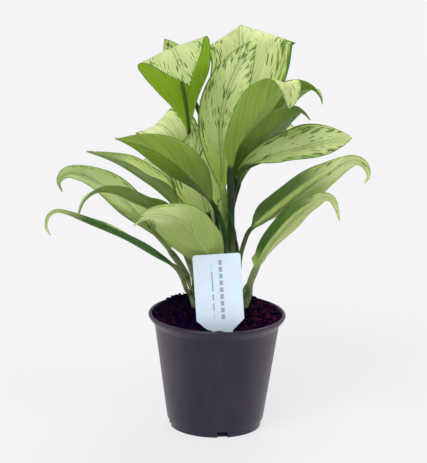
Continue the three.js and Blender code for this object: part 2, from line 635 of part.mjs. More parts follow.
// The plant label: a card with clipped lower corners that narrows to a stake.
function makeLabel(grow = 0) {
  const l = LABEL;
  const half = l.width / 2 + grow;
  const stake = l.stakeWidth / 2 + grow;
  const c = l.corner;
  const shape = new THREE.Shape();
  shape.moveTo(-stake * 0.55, l.bottom - grow);
  shape.lineTo(stake * 0.55, l.bottom - grow);
  shape.lineTo(stake, l.bottom + 12);
  shape.lineTo(stake, l.taperEnd - grow);
  shape.lineTo(half, l.shoulder - grow);
  shape.lineTo(half, l.top - c);
  shape.quadraticCurveTo(half, l.top, half - c, l.top);
  shape.lineTo(-half + c, l.top);
  shape.quadraticCurveTo(-half, l.top, -half, l.top - c);
  shape.lineTo(-half, l.shoulder - grow);
  shape.lineTo(-stake, l.taperEnd - grow);
  shape.lineTo(-stake, l.bottom + 12);
  const thickness = l.thickness + 2 * grow;
  const card = new THREE.ExtrudeGeometry(shape, { depth: thickness, bevelEnabled: false, curveSegments: 3 });
  card.translate(0, 0, -thickness / 2);
  card.rotateX(Math.PI / 2);
  card.translate(0, 0, -l.pivot);
  card.rotateY(radians(l.leanDegrees));
  card.rotateX(radians(-l.tiltDegrees));
  card.translate(l.x, l.y, l.pivot);
  card.deleteAttribute("normal");
  card.deleteAttribute("uv");
  return card;
}

function material(colour, roughness) {
  return new THREE.MeshStandardMaterial({ color: colour, roughness, metalness: 0 });
}

const leafGreen = material(0x9fbf6c, 0.45);
const caneGreen = material(0x5c7a3c, 0.55);
const potPlastic = material(0x47414d, 0.5);
const barkSoil = material(0x2b1a20, 0.95);
const labelCard = material(0xd3e6f5, 0.5);

const plant = new THREE.Group();
plant.name = "potted_chinese_evergreen";

function add(name, geometry, look) {
  const mesh = new THREE.Mesh(geometry, look);
  mesh.name = name;
  plant.add(mesh);
}

add("pot", makePot(), potPlastic);
add("soil", makeSoil(), barkSoil);
add("label", makeLabel(), labelCard);
for (const name of Object.keys(CANES)) add(`cane_${name}`, makeCane(name), caneGreen);
for (const leaf of LEAVES) add(leaf.name, makeLeaf(leaf), leafGreen);

export default plant;
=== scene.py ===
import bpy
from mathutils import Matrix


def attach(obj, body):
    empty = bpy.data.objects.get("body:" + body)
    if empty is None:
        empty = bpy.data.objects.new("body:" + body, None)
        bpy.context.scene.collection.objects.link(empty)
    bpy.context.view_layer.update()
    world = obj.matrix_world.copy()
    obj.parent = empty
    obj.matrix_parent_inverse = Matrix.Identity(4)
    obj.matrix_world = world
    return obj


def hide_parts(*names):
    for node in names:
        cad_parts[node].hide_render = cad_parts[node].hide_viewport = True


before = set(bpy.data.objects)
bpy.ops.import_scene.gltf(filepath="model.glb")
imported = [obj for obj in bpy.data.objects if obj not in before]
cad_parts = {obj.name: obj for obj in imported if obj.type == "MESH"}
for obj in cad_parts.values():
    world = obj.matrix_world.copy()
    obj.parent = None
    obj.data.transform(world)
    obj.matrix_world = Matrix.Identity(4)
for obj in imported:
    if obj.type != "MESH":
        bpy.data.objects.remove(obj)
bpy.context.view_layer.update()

import math

import bpy
import numpy as np
from bpy.props import FloatProperty, FloatVectorProperty, IntProperty, PointerProperty
from mathutils import Matrix, Vector

bl_info = {
    "name": "Potted Chinese Evergreen",
    "version": (1, 0, 0),
    "blender": (4, 5, 0),
    "location": "View3D > Sidebar > Plant",
    "description": "Makes the leaves, canes, pot, soil and label of a potted Chinese evergreen",
    "category": "Object",
}

MM = 0.001

# The canes: points on the axis from the soil up and the radius at foot and tip, in millimetres.
CANE_BOTTOM = 52
CANE_STEPS = 89
CANES = {
    "left": ([[-14, 1, 52], [-16, 1, 100], [-19, 1, 126], [-21, 1, 144]], (4.4, 3.5)),
    "centre": ([[8, 0, 52], [9, 0, 110], [11, 0, 158]], (4.8, 3.5)),
    "inner": ([[4, 17, 52], [6, 17, 110], [7, 18, 156]], (4.8, 3.5)),
    "right": ([[20, 4, 52], [21, 4, 100], [23, 4, 122]], (4.4, 3.6)),
    "back": ([[-13, 32, 52], [-14, 33, 110], [-16, 35, 158]], (4.8, 3.5)),
    "rear": ([[7, 38, 52], [8, 39, 110], [9, 41, 146]], (4.6, 3.5)),
}

# Shape rules that all leaves share, in millimetres and shares of the blade.
CLEARANCE = 0.3
BLADE = dict(tip_half=0.3, tip_curve=1.8, join_share=0.07, channel=1.1, crowding=1.35)
MARGIN = dict(start=0.9, breadth=0.1, thinned=0.55)
SPREAD = dict(at=0.86, breadth=0.07)
VEIN = dict(slant=2.5, bow=0.02)
# The share of the blade over which a look fades, and how sharply the painted light of the underside's
# halves meets.
FADE = dict(green_tip=0.3, lit_foot=0.22, shown=0.28, stem=0.05, halves=6)
SHEATH = dict(half=5.2, thickness=1.5, share=0.34, first_rise=13, first_gap=2.6)
STEPS = dict(stalk=22, blade=80, across=28, dense=480)
SEED_STEP = 3.7

# What a leaf has where its own entry says nothing else, in millimetres, degrees and shares.
# The blade starts at the path's point numbered blade, from 0. stalk is the radius of the stalk. swell
# rounds the blade's base and draw draws out its tip. skew moves width from the right half to the left.
# neck and tail are the least half widths near the foot and the tip, and spread widens a drooping tip.
# curl is the bend across, at the blade's base, middle and tip. wave is height, count and phase.
# green_tip turns the upper side greener to the tip. tone_reach moves the border between the painted light
# on the underside's halves to the right. shown_from is the share of the blade from which the underside
# looks as the upper side does, and 2 is nowhere. lit_foot is the painted light on the underside at the
# foot, and pale_stalk how much of the blade's colour goes on down the stalk. marks are the share
# of flecks on the upper side, the painted shade at the underside's foot, which also sets how green the
# upper side's foot is, and the painted shade in the crease along the underside's midrib.
PLAIN_LEAF = dict(
    blade=2, stalk=2, swell=2.1, draw=1.25, skew=0, neck=0, tail=2.2, spread=0,
    curl=[10, 0, 0], wave=[1, 2, 0],
    green_tip=0, tone_reach=0, shown_from=2.0, lit_foot=0, pale_stalk=0, marks=(1.0, 0.4, 0.3),
)
# What the leaves guessed for the back share.
REAR_LEAF = dict(belly=0.45, fold=[40, 14, 10], curl=[0, 0, 0], young=0.2, pale=0.8, lit=[0.4, 0.4])

# The leaves, shaped as in the part's source. seat is the height on the cane and around the direction of
# the sheath. path is the midrib after the sheath, belly the share at which the blade is widest, and face
# the direction of the upper side at the blade's middle. fold is the lift of both halves at base, middle
# and tip, or of the left one where fold_right gives the other. young runs from an old to a new leaf, pale
# from a green to a silver upper side, and lit is the painted light on the underside left and right of the
# midrib.
LEAVES = [
    dict(
        name="leaf_crown_back", cane="rear", seat=132, around=85,
        path=[
            [8, 43, 172], [9, 39, 194], [10, 41, 222], [12, 44, 246], [14, 48, 271], [15, 53, 295],
            [17, 60, 318], [16, 70, 335], [16, 84, 341], [18, 100, 336], [21, 114, 320], [25, 122, 301],
        ],
        width=90, belly=0.72, swell=1.9, draw=0.9, skew=-0.13, face=[-0.05, -0.85, 0.5],
        fold=[16, -38, -25], fold_right=[16, -24, -15], curl=[16, 0, 0], wave=[1.5, 2, 0],
        young=0.45, pale=1.0, lit=[0.6, 0.6],
    ),
    dict(
        name="leaf_crown_front", cane="inner", seat=142, around=125, stalk=3,
        path=[
            [4, 18, 174], [6, 9, 192], [3, 3, 210], [2, 2, 240], [0, 3, 264], [2, 6, 284], [8, 11, 304],
            [15, 18, 319], [23, 27, 331], [30, 37, 338],
        ],
        width=42, belly=0.5, draw=1, neck=7, face=[-0.15, -0.95, 0.25], fold=[35, 20, 4],
        wave=[1.5, 2, 1],
        young=0.5, pale=0.84, lit=[0.6, 0.6], pale_stalk=0.75,
    ),
    dict(
        name="leaf_top_left", cane="back", seat=134, around=-60,
        path=[
            [-15, 31, 172], [-21, 37, 202], [-27, 35, 252], [-29, 32, 271], [-32, 27, 289],
            [-36, 19, 309], [-41, 7, 327], [-43, -6, 337], [-39, -18, 334], [-33, -26, 322],
            [-27, -30, 310],
        ],
        width=66, belly=0.64, swell=1.4, draw=1.1, face=[-0.28, 0.8, 0.45], fold=[48, -9, 8],
        fold_right=[48, -13, 8],
        young=1.0, pale=0.85, lit=[0.85, 0.85], marks=(0.7, 0.0, 0.85),
    ),
    dict(
        name="leaf_top_left_behind", cane="back", seat=146, around=60, blade=3,
        path=[
            [-12, 43, 175], [-11, 49, 215], [-15, 56, 256], [-27, 56, 286], [-39, 48, 314],
            [-50, 40, 336],
        ],
        width=26, belly=0.5, draw=0.9, face=[0.2, -0.9, 0.3], fold=[40, 20, 10], wave=[0, 2, 0],
        young=0.6, pale=0.9, lit=[0.5, 0.5],
    ),
    dict(
        name="leaf_left_back", cane="back", seat=120, around=150,
        path=[
            [-23, 40, 168], [-23, 40, 193], [-29, 40, 221], [-36, 44, 239], [-46, 50, 251],
            [-55, 58, 255], [-61, 68, 249], [-64, 78, 237],
        ],
        width=54, belly=0.5, face=[0.2, -0.7, 0.7], fold=[35, 14, 8],
        young=0.5, pale=1.0, lit=[0.6, 0.6], marks=(0.55, 0.2, 0.3),
    ),
    dict(
        name="leaf_front_left", cane="centre", seat=136, around=-150,
        path=[
            [6, -15, 172], [1, -16, 191], [-6, -18, 205], [-21, -27, 226], [-42, -38, 248],
            [-65, -44, 261], [-89, -44, 266],
        ],
        width=37, belly=0.52, skew=0.1, face=[0.1, 0.9, 0.4], fold=[30, 8, 5], wave=[0.5, 2, 0],
        young=0.38, pale=0.9, lit=[0.5, 0.35], marks=(0.8, 1.15, 0.15),
    ),
    dict(
        name="leaf_left_middle_back", cane="left", seat=126, around=70,
        path=[
            [-22, 14, 144], [-29, 18, 169], [-36, 20, 188], [-52, 19, 205], [-69, 16, 218],
            [-86, 11, 230], [-101, 6, 238], [-115, 0, 244],
        ],
        width=33, belly=0.38, face=[0.3, -0.3, 0.9], fold=[70, 50, 40], fold_right=[50, 30, 30],
        young=0.2, pale=1.0, green_tip=0.65, lit=[0.35, 0.35], marks=(0.5, 0.0, 0.3),
    ),
    dict(
        name="leaf_left_upper", cane="left", seat=120, around=-176, stalk=2.8,
        path=[
            [-27, -4, 136], [-32, -9, 146], [-39, -13, 157], [-59, -18, 181], [-83, -22, 207],
            [-104, -25, 222], [-119, -27, 229], [-130, -28, 230], [-136, -29, 224], [-134, -28, 215],
        ],
        width=36, belly=0.5, spread=1.0, face=[0.4, -0.5, 0.75], fold=[40, 12, 30],
        young=0.1, pale=0.7, green_tip=0.2, lit=[0.4, 0.4], marks=(0.55, 0.1, 0.3),
    ),
    dict(
        name="leaf_left_middle", cane="left", seat=116, around=-70,
        path=[
            [-20, -11, 134], [-26, -17, 154], [-35, -23, 171], [-50, -35, 197], [-71, -49, 213],
            [-88, -61, 223], [-102, -70, 226], [-112, -76, 220], [-118, -79, 206],
        ],
        width=30, belly=0.42, tail=3.2, spread=1.7, face=[0.1, 0.5, 0.85], fold=[40, 15, 20],
        young=0.15, pale=0.7, lit=[0.28, 0.28], shown_from=0.85, marks=(0.6, 0.4, 0.3),
    ),
    dict(
        name="leaf_left_lower", cane="left", seat=106, around=-154,
        path=[
            [-27, -10, 125], [-31, -17, 138], [-37, -26, 150], [-55, -42, 165], [-79, -54, 182],
            [-102, -62, 194], [-117, -65, 201], [-127, -68, 206], [-136, -70, 208], [-142, -71, 204],
            [-144, -71, 196], [-141, -71, 188],
        ],
        width=13, belly=0.45, tail=2.4, spread=1.9, face=[0.25, 0.2, 0.95], fold=[45, 50, 35],
        young=0.0, pale=1.0, lit=[0.0, 0.12], shown_from=0.62, marks=(0.3, 0.3, 0.3),
    ),
    dict(
        name="leaf_front", cane="centre", seat=106, around=-130, blade=1,
        path=[
            [-2, -12, 117], [-3, -20, 134], [-6, -27, 152], [-11, -38, 168], [-17, -49, 180],
            [-26, -60, 193], [-34, -71, 203], [-44, -78, 208], [-55, -82, 210], [-64, -84, 207],
            [-71, -85, 201],
        ],
        width=48, belly=0.55, swell=2.6, draw=1.05, skew=-0.16, face=[-0.1, 0.85, 0.5], fold=[22, 14, 18],
        young=0.0, pale=1.0, lit=[1.0, 1.05], shown_from=0.56, marks=(0.5, 0.0, 0.12),
    ),
    dict(
        name="leaf_upright", cane="inner", seat=110, around=165,
        path=[
            [-3, 16, 140], [-2, 16, 159], [-9, 16, 186], [-16, 17, 212], [-20, 19, 234], [-19, 22, 250],
            [-18, 27, 260], [-19, 34, 261],
        ],
        width=50, belly=0.42, face=[-0.15, -0.95, 0.2], fold=[15, 10, 10],
        young=0.1, pale=1.0, lit=[0.9, 0.9], marks=(0.75, 0.2, 0.3),
    ),
    dict(
        name="leaf_right_front", cane="centre", seat=124, around=-70, stalk=3,
        path=[
            [11, -9, 170], [10, -14, 207], [9, -16, 234], [13, -20, 252], [21, -26, 269], [29, -33, 284],
            [38, -41, 300], [46, -49, 313], [52, -57, 319], [56, -62, 314], [57, -64, 306],
            [56, -65, 299],
        ],
        width=43, belly=0.6, draw=0.7, face=[-0.5, 0.8, 0.3], fold=[40, 22, 8],
        young=0.42, pale=0.95, lit=[0.5, 0.68], marks=(0.9, 1.0, 0.2),
    ),
    dict(
        name="leaf_right_crest", cane="inner", seat=132, around=5,
        path=[
            [14, 20, 165], [10, 17, 186], [18, 13, 220], [32, 12, 254], [47, 9, 281], [61, 4, 296],
            [72, -2, 303], [79, -8, 303], [84, -12, 298], [86, -13, 292],
        ],
        width=40, belly=0.58, draw=1.05, tail=2.8, face=[-0.3, 0.75, 0.6], fold=[35, 20, 20],
        young=0.35, pale=0.8, lit=[0.12, 0.12], shown_from=0.88,
    ),
    dict(
        name="leaf_right_inner", cane="inner", seat=118, around=-40,
        path=[
            [14, 9, 155], [11, 8, 188], [16, 7, 213], [25, 4, 236], [36, 2, 256], [49, -2, 271],
            [60, -6, 281], [65, -9, 285], [71, -12, 283], [76, -13, 278],
        ],
        width=38, belly=0.5, face=[-0.2, 0.8, 0.55], fold=[35, 20, 20],
        young=0.15, pale=0.7, lit=[0.15, 0.25], shown_from=0.86,
    ),
    dict(
        name="leaf_right_upper", cane="centre", seat=142, around=25,
        path=[
            [11, -1, 181], [12, -3, 207], [15, -6, 222], [22, -10, 233], [36, -16, 242], [49, -21, 249],
            [67, -27, 256], [88, -31, 263], [111, -33, 268],
        ],
        width=38, belly=0.62, swell=1.7, draw=0.85, skew=0.1, face=[0.1, -0.75, 0.65], fold=[30, 8, 5],
        fold_right=[98, 34, 0], curl=[0, 0, 0],
        young=0.0, pale=0.7, lit=[0.0, 0.0], marks=(0.85, 0.3, 0.3),
    ),
    dict(
        name="leaf_right_middle", cane="centre", seat=110, around=-8, blade=3,
        path=[
            [18, -2, 135], [19, -8, 154], [22, -11, 168], [27, -14, 181], [39, -19, 190], [52, -24, 202],
            [65, -30, 215], [79, -36, 228], [92, -40, 238], [104, -43, 247], [113, -45, 251],
            [121, -46, 248], [125, -47, 239], [122, -47, 232],
        ],
        width=42, belly=0.4, swell=2.9, skew=0.18, spread=0.7, face=[-0.35, 0.8, 0.45], fold=[30, 14, 12],
        young=0.1, pale=1.0, lit=[1.1, 0.08], tone_reach=0.36, shown_from=0.46, lit_foot=0.4,
        pale_stalk=0.3, marks=(0.4, 0.7, 0.8),
    ),
    dict(
        name="leaf_right_lower", cane="right", seat=106, around=-45, stalk=3, blade=1,
        path=[
            [28, -9, 131], [32, -12, 144], [38, -16, 157], [47, -20, 172], [58, -25, 187], [69, -29, 200],
            [80, -32, 209], [87, -34, 215], [94, -36, 215], [99, -38, 207], [102, -39, 197],
        ],
        width=25, belly=0.45, swell=2.4, draw=1.15, neck=8, spread=0.9, face=[-0.4, 0.9, 0.2],
        fold=[28, 20, 12],
        young=0.1, pale=1.0, lit=[1.5, 0.03], tone_reach=0.3, shown_from=0.58, lit_foot=1.4,
        marks=(0.5, 0.6, 0.6),
    ),
    dict(
        REAR_LEAF,
        name="leaf_rear_left_low", cane="left", seat=110, around=95, blade=1,
        path=[
            [-24, 18, 136], [-32, 28, 152], [-46, 42, 168], [-62, 54, 180], [-78, 64, 184],
            [-90, 70, 178],
        ],
        width=38, face=[0.2, -0.2, 0.95],
    ),
    dict(
        REAR_LEAF,
        name="leaf_rear_left", cane="back", seat=106, around=130, blade=1,
        path=[
            [-24, 48, 140], [-28, 56, 165], [-36, 66, 190], [-50, 80, 208], [-66, 94, 214],
            [-80, 104, 206],
        ],
        width=44, face=[0.2, -0.3, 0.9],
        young=0.3, pale=0.9, lit=[0.5, 0.4],
    ),
    dict(
        REAR_LEAF,
        name="leaf_rear_middle_low", cane="rear", seat=106, around=110, blade=1,
        path=[
            [4, 58, 134], [-1, 68, 154], [-5, 82, 172], [-9, 98, 180], [-13, 112, 176], [-15, 122, 164],
        ],
        width=42, face=[0, -0.3, 0.95],
    ),
    dict(
        REAR_LEAF,
        name="leaf_rear_middle", cane="rear", seat=120, around=165,
        path=[
            [0, 50, 155], [-4, 58, 190], [-8, 66, 213], [-14, 80, 229], [-20, 96, 235], [-26, 112, 228],
        ],
        width=46, face=[0, -0.5, 0.85],
        young=0.3, pale=0.9, lit=[0.4, 0.5],
    ),
    dict(
        REAR_LEAF,
        name="leaf_rear_right", cane="rear", seat=114, around=15,
        path=[
            [13, 52, 150], [12, 54, 195], [18, 55, 226], [38, 60, 245], [60, 66, 250], [80, 72, 244],
        ],
        width=36, face=[-0.1, -0.3, 0.95],
        young=0.3, pale=0.9,
    ),
    dict(
        REAR_LEAF,
        name="leaf_rear_right_low", cane="right", seat=107, around=80, blade=1,
        path=[
            [31, 16, 129], [37, 24, 142], [46, 36, 153], [57, 48, 164], [67, 58, 171], [74, 66, 173],
        ],
        width=18, face=[-0.1, -0.2, 0.95],
    ),
]


def linear(red, green, blue):
    """A screen colour from 0 to 255 as linear light."""
    out = []
    for value in (red, green, blue):
        share = value / 255
        out.append(share / 12.92 if share <= 0.04045 else ((share + 0.055) / 1.055) ** 2.4)
    return tuple(out)


def length_prop(label, text, millimetres):
    return FloatProperty(
        name=label, description=text, default=millimetres * MM, min=0.0, precision=5, unit="LENGTH"
    )


def number_prop(label, text, value):
    return FloatProperty(name=label, description=text, default=value, precision=3)


def count_prop(label, text, value, least=0):
    return IntProperty(name=label, description=text, default=value, min=least)


def angle_prop(label, text, degrees):
    return FloatProperty(name=label, description=text, default=math.radians(degrees), subtype="ANGLE")


def colour_prop(label, text, rgb):
    return FloatVectorProperty(
        name=label, description=text, default=linear(*rgb), size=3, subtype="COLOR", min=0.0, max=1.0
    )


class LeafSettings(bpy.types.PropertyGroup):
    blade_thickness: length_prop("Blade thickness", "Thickness of the blade between its veins", 0.6)
    rib_height: length_prop("Rib height", "How far the midrib stands out below at the blade's base", 1.3)
    rib_width: length_prop("Rib width", "Half width of the midrib at the blade's base", 1.9)
    groove_depth: length_prop("Groove depth", "Depth of the channel above the midrib", 0.35)
    vein_spacing: length_prop("Vein spacing", "Distance between side veins along the midrib", 9.5)
    vein_depth: length_prop("Vein depth", "Height of the pleats between side veins", 0.12)
    crinkle_height: length_prop("Crinkle height", "Height of the slow unevenness of a blade", 0.9)
    crinkle_size: length_prop("Crinkle size", "Size of that unevenness", 16)
    seed: count_prop("Seed", "Seed of the unevenness", 7)
    silver: colour_prop("Silver", "Pale ground of the upper side", (196, 209, 146))
    cream: colour_prop("Cream", "Lighter ground of the upper side", (216, 226, 160))
    lime: colour_prop("Lime", "Ground of the upper side near the margin and the tip", (200, 216, 122))
    fleck: colour_prop("Fleck", "Flecks on the upper side", (60, 98, 20))
    margin: colour_prop("Margin", "Line along the margin", (76, 114, 42))
    under: colour_prop("Underside", "Underside of a mature leaf", (38, 86, 20))
    # Painted light: the colour that a lit underside takes on. It also greens the upper side's foot.
    lit_under_and_foot: colour_prop("Pale underside", "Underside of a light mature leaf", (164, 182, 98))
    # Painted shade at the underside's foot.
    under_shade: colour_prop("Underside foot", "Underside near the foot of the blade", (20, 62, 6))
    under_young: colour_prop("Young underside", "Underside of a young leaf", (166, 202, 46))
    rib: colour_prop("Rib", "Midrib below", (150, 174, 96))
    stalk: colour_prop("Stalk", "Leaf stalk", (24, 48, 12))
    sheath: colour_prop("Sheath", "Sheath at the foot of the stalk", (138, 152, 104))


class CaneSettings(bpy.types.PropertyGroup):
    ring_spacing: length_prop("Ring spacing", "Distance between leaf scars", 11)
    ring_swell: length_prop("Ring swell", "How far a leaf scar stands out", 0.3)
    sides: count_prop("Sides", "Sides of the round cane", 28, 8)
    green: colour_prop("Green", "Young cane", (92, 122, 60))
    scar: colour_prop("Scar", "Leaf scars", (128, 124, 82))


class PotSettings(bpy.types.PropertyGroup):
    height: length_prop("Height", "Height of the pot", 102)
    rim_radius: length_prop("Rim radius", "Outer radius of the rolled rim", 60)
    rim_drop: length_prop("Rim drop", "Height of the collar below the rim", 8.5)
    shoulder_radius: length_prop("Shoulder radius", "Outer radius just below the collar", 54.4)
    foot_radius: length_prop("Foot radius", "Outer radius just above the foot", 41.6)
    foot_height: length_prop("Foot height", "Height of the inset foot", 7)
    foot_inset: length_prop("Foot inset", "How far the foot is set in", 1.6)
    wall: length_prop("Wall", "Thickness of the wall", 1.8)
    floor: length_prop("Floor", "Thickness of the floor", 2.2)
    slot_count: count_prop("Slots", "Number of drain slots", 4, 1)
    slot_width: length_prop("Slot width", "Width of a drain slot", 9)
    slot_height: length_prop("Slot height", "Height of a drain slot", 5.2)
    slot_turn: angle_prop("Slot turn", "Direction of the first drain slot", -80.5)
    sides: count_prop("Sides", "Sides of the round pot", 160, 16)
    plastic: colour_prop("Plastic", "Colour of the plastic", (36, 30, 54))
    # This colour is also used for the painted sheen at the pot's left and right sides.
    worn: colour_prop("Worn", "Colour of rubbed and dusty plastic", (86, 72, 78))
    shadow: colour_prop("Shadow", "Colour inside the drain slots", (8, 6, 12))


class SoilSettings(bpy.types.PropertyGroup):
    edge_height: length_prop("Edge height", "Height of the soil at the wall", 100.2)
    lean: length_prop("Lean", "How much higher the soil stands at the back wall than at its sides", 3.2)
    ridge: length_prop("Ridge", "How far the soil is heaped up along the back", 1.1)
    mound: length_prop("Mound", "Rise of the soil to the middle", 2.6)
    lumps: length_prop("Lumps", "Height of the lumps", 1.6)
    chip_length: length_prop("Chip length", "Length of the largest bark chips", 10)
    chip_gap: length_prop("Chip gap", "Least distance between chips", 2.1)
    dip: length_prop("Dip", "How far the soil sinks in front of the label", 3.2)
    seed: count_prop("Seed", "Seed of the soil's lumps and of its chips", 11)
    dark: colour_prop("Dark", "Darkest bark", (3, 0, 30))
    bark: colour_prop("Bark", "Middle bark", (40, 8, 44))
    red: colour_prop("Red", "Reddest bark", (96, 26, 44))


class LabelSettings(bpy.types.PropertyGroup):
    width: length_prop("Width", "Width of the card", 41)
    top: length_prop("Top", "Height of the card's top", 166)
    thickness: length_prop("Thickness", "Thickness of the card", 0.8)
    corner: length_prop("Corner", "Radius of the top corners", 2.5)
    card: colour_prop("Card", "Colour of the card", (221, 238, 252))
    print: colour_prop("Print", "Colour of the plain bars", (154, 172, 192))


class StageSettings(bpy.types.PropertyGroup):
    distance: length_prop("Distance", "From the camera to the middle of the plant", 2200)
    elevation: angle_prop("Elevation", "Height of the camera above the horizon", 15)
    roll: angle_prop("Roll", "Lean of the camera", 1.1)
    target_x: FloatProperty(
        name="Target X",
        description="Where the camera looks, to the right",
        default=-4.5 * MM,
        unit="LENGTH",
    )
    target_z: length_prop("Target Z", "Where the camera looks, above the floor", 175)
    lens: number_prop("Lens", "Focal length for a 36 mm sensor", 197.5)
    floor_size: length_prop("Floor size", "Half width of the floor", 15000)
    sky: number_prop("Sky", "Strength of the light from all round", 0.5)
    paper: number_prop("Paper", "Brightness of what the camera sees beyond the floor", 0.9)
    key: number_prop("Key", "Strength of the main light", 1.7)
    fill: number_prop("Fill", "Strength of the light from the right", 0.5)
    back: number_prop("Back", "Strength of the light from behind", 1.1)
    floor_glow: colour_prop("Floor glow", "Light that the floor gives off by itself", (215, 215, 218))
    floor_tone: colour_prop("Floor", "Colour of the floor", (118, 118, 118))


# Shared helpers for meshes, node trees and materials. In all functions plan is the settings of the piece
# that is made.


def new_object(name, data):
    piece = bpy.data.objects.new(name, data)
    bpy.context.scene.collection.objects.link(piece)
    return piece


def mesh_of(name, points, faces, smooth=True):
    mesh = bpy.data.meshes.new(name)
    mesh.from_pydata([tuple(p) for p in points], [], faces)
    mesh.validate()
    if smooth:
        mesh.shade_smooth()
    return mesh


def circle(radius, sides):
    """x and y of points round a circle."""
    angles = np.arange(sides) * math.tau / sides
    return [(radius * math.cos(angle), radius * math.sin(angle)) for angle in angles]


def ring_faces(sides, rings):
    """Faces that join stacked rings of points, and close them with a first and a last point."""
    last = 1 + sides * rings
    top = last - sides
    faces = []
    for j in range(sides):
        k = (j + 1) % sides
        faces.append((0, 1 + k, 1 + j))
        for low in range(1, top, sides):
            faces.append((low + j, low + k, low + sides + k, low + sides + j))
        faces.append((top + j, top + k, last))
    return faces


def store(mesh, name, values, kind="FLOAT_VECTOR"):
    layer = mesh.attributes.new(name, kind, "POINT")
    field = "vector" if kind == "FLOAT_VECTOR" else "value"
    layer.data.foreach_set(field, np.ravel(values).astype(float))


def bake_nodes(piece, tree, values):
    """Runs a Geometry Nodes tree on a piece with its inputs set by name, and keeps the mesh it makes."""
    modifier = piece.modifiers.new(tree.name, "NODES")
    modifier.node_group = tree
    for item in tree.interface.items_tree:
        if item.item_type == "SOCKET" and item.in_out == "INPUT" and item.name in values:
            modifier[item.identifier] = values[item.name]
    depsgraph = bpy.context.evaluated_depsgraph_get()
    made = bpy.data.meshes.new_from_object(
        piece.evaluated_get(depsgraph), preserve_all_data_layers=True, depsgraph=depsgraph
    )
    piece.modifiers.clear()
    old = piece.data
    piece.data = made
    made.name = piece.name
    bpy.data.meshes.remove(old)
    return piece


def finish_piece(piece, slot, *nodes):
    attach(piece, "root")
    if nodes:
        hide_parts(*nodes)


class Net:
    """Adds nodes to a tree. An input is a value, or a socket that is then linked."""

    def __init__(self, tree):
        self.tree = tree
        self.count = 0

    def add(self, kind, inputs=None, **settings):
        node = self.tree.nodes.new(kind)
        node.location = (self.count * 190 - 900, -(self.count % 5) * 170)
        self.count += 1
        for key, value in settings.items():
            setattr(node, key, value)
        for key, value in (inputs or {}).items():
            self.put(node.inputs[key], value)
        return node

    def put(self, socket, value):
        if isinstance(value, bpy.types.NodeSocket):
            self.tree.links.new(value, socket)
        else:
            socket.default_value = value

    def math(self, operation, *values, clamp=False):
        node = self.add("ShaderNodeMath", dict(enumerate(values)), operation=operation, use_clamp=clamp)
        return node.outputs[0]

    def times(self, one, two):
        return self.math("MULTIPLY", one, two)

    def over(self, one, two):
        return self.math("DIVIDE", one, two)

    def plus(self, one, two, clamp=False):
        return self.math("ADD", one, two, clamp=clamp)

    def minus(self, one, two, clamp=False):
        return self.math("SUBTRACT", one, two, clamp=clamp)

    def most(self, one, two):
        return self.math("MAXIMUM", one, two)

    def line(self, value, slope, start, clamp=False):
        """The value times a slope, plus a start."""
        return self.math("MULTIPLY_ADD", value, slope, start, clamp=clamp)

    def apart(self, value, middle):
        """How far a value lies from a middle one."""
        return self.math("ABSOLUTE", self.minus(value, middle))

    def vector(self, operation, *values):
        node = self.add("ShaderNodeVectorMath", {}, operation=operation)
        for i, value in enumerate(values):
            self.put(node.inputs[3] if operation == "SCALE" and i == 1 else node.inputs[i], value)
        return node.outputs["Value" if operation in ("LENGTH", "DOT_PRODUCT") else "Vector"]

    def split(self, vector):
        node = self.add("ShaderNodeSeparateXYZ", {0: vector})
        return node.outputs[0], node.outputs[1], node.outputs[2]

    def join(self, x, y, z):
        return self.add("ShaderNodeCombineXYZ", {0: x, 1: y, 2: z}).outputs[0]

    def ramp(self, value, low, high, to_low=0.0, to_high=1.0):
        """Smooth step from low to high."""
        node = self.add("ShaderNodeMapRange", {0: value, 1: low, 2: high, 3: to_low, 4: to_high})
        node.interpolation_type = "SMOOTHSTEP"
        return node.outputs[0]

    def noise(self, vector, scale, detail=2.0):
        node = self.add("ShaderNodeTexNoise", {"Scale": scale, "Detail": detail, "Roughness": 0.5})
        self.put(node.inputs["Vector"], vector)
        return node.outputs[0]

    def mix(self, factor, one, two, strength=None):
        """A colour between two. Where a strength is given, the factor is multiplied by it."""
        if strength is not None:
            factor = self.times(factor, strength)
        node = self.add("ShaderNodeMix", {}, data_type="RGBA")
        for index, value in ((0, factor), (6, one), (7, two)):
            if index and not isinstance(value, bpy.types.NodeSocket):
                value = (*value[:3], 1.0)
            self.put(node.inputs[index], value)
        return node.outputs[2]

    def group(self, tree, **inputs):
        """The first output of a shader node group."""
        node = self.add("ShaderNodeGroup", node_tree=tree)
        for key, value in inputs.items():
            self.put(node.inputs[key], value)
        return node.outputs[0]

    def mottle(self, vector, scale, low, high):
        return self.group(mottle_group(), Vector=vector, Scale=scale, Low=low, High=high)

    def bump(self, height, strength, distance):
        settings = {"Strength": strength, "Distance": distance, "Height": height}
        return self.add("ShaderNodeBump", settings).outputs[0]

    def attribute(self, name, output="Vector"):
        return self.add("ShaderNodeAttribute", attribute_name=name).outputs[output]

    def object_place(self):
        return self.add("ShaderNodeTexCoord").outputs["Object"]


def new_group(name, kind, inputs, outputs):
    """A node group with its sockets, given as name: (type, default)."""
    tree = bpy.data.node_groups.new(name, kind)
    for label, (socket, default) in inputs.items():
        item = tree.interface.new_socket(name=label, in_out="INPUT", socket_type="NodeSocket" + socket)
        if default is not None:
            item.default_value = default
    for label, socket in outputs.items():
        tree.interface.new_socket(name=label, in_out="OUTPUT", socket_type="NodeSocket" + socket)
    net = Net(tree)
    start = net.add("NodeGroupInput")
    end = net.add("NodeGroupOutput")
    return tree, net, start.outputs, end.inputs


def shape_group(name, inputs):
    """A Geometry Nodes tree that takes a geometry and a material, and other inputs between them."""
    inputs = {"Geometry": ("Geometry", None), **inputs, "Material": ("Material", None)}
    return new_group(name, "GeometryNodeTree", inputs, {"Geometry": "Geometry"})


def painted(net, node, given):
    """What a node makes, with the tree's material on it."""
    geometry = {"Geometry": node.outputs[0], "Material": given["Material"]}
    return net.add("GeometryNodeSetMaterial", geometry).outputs[0]


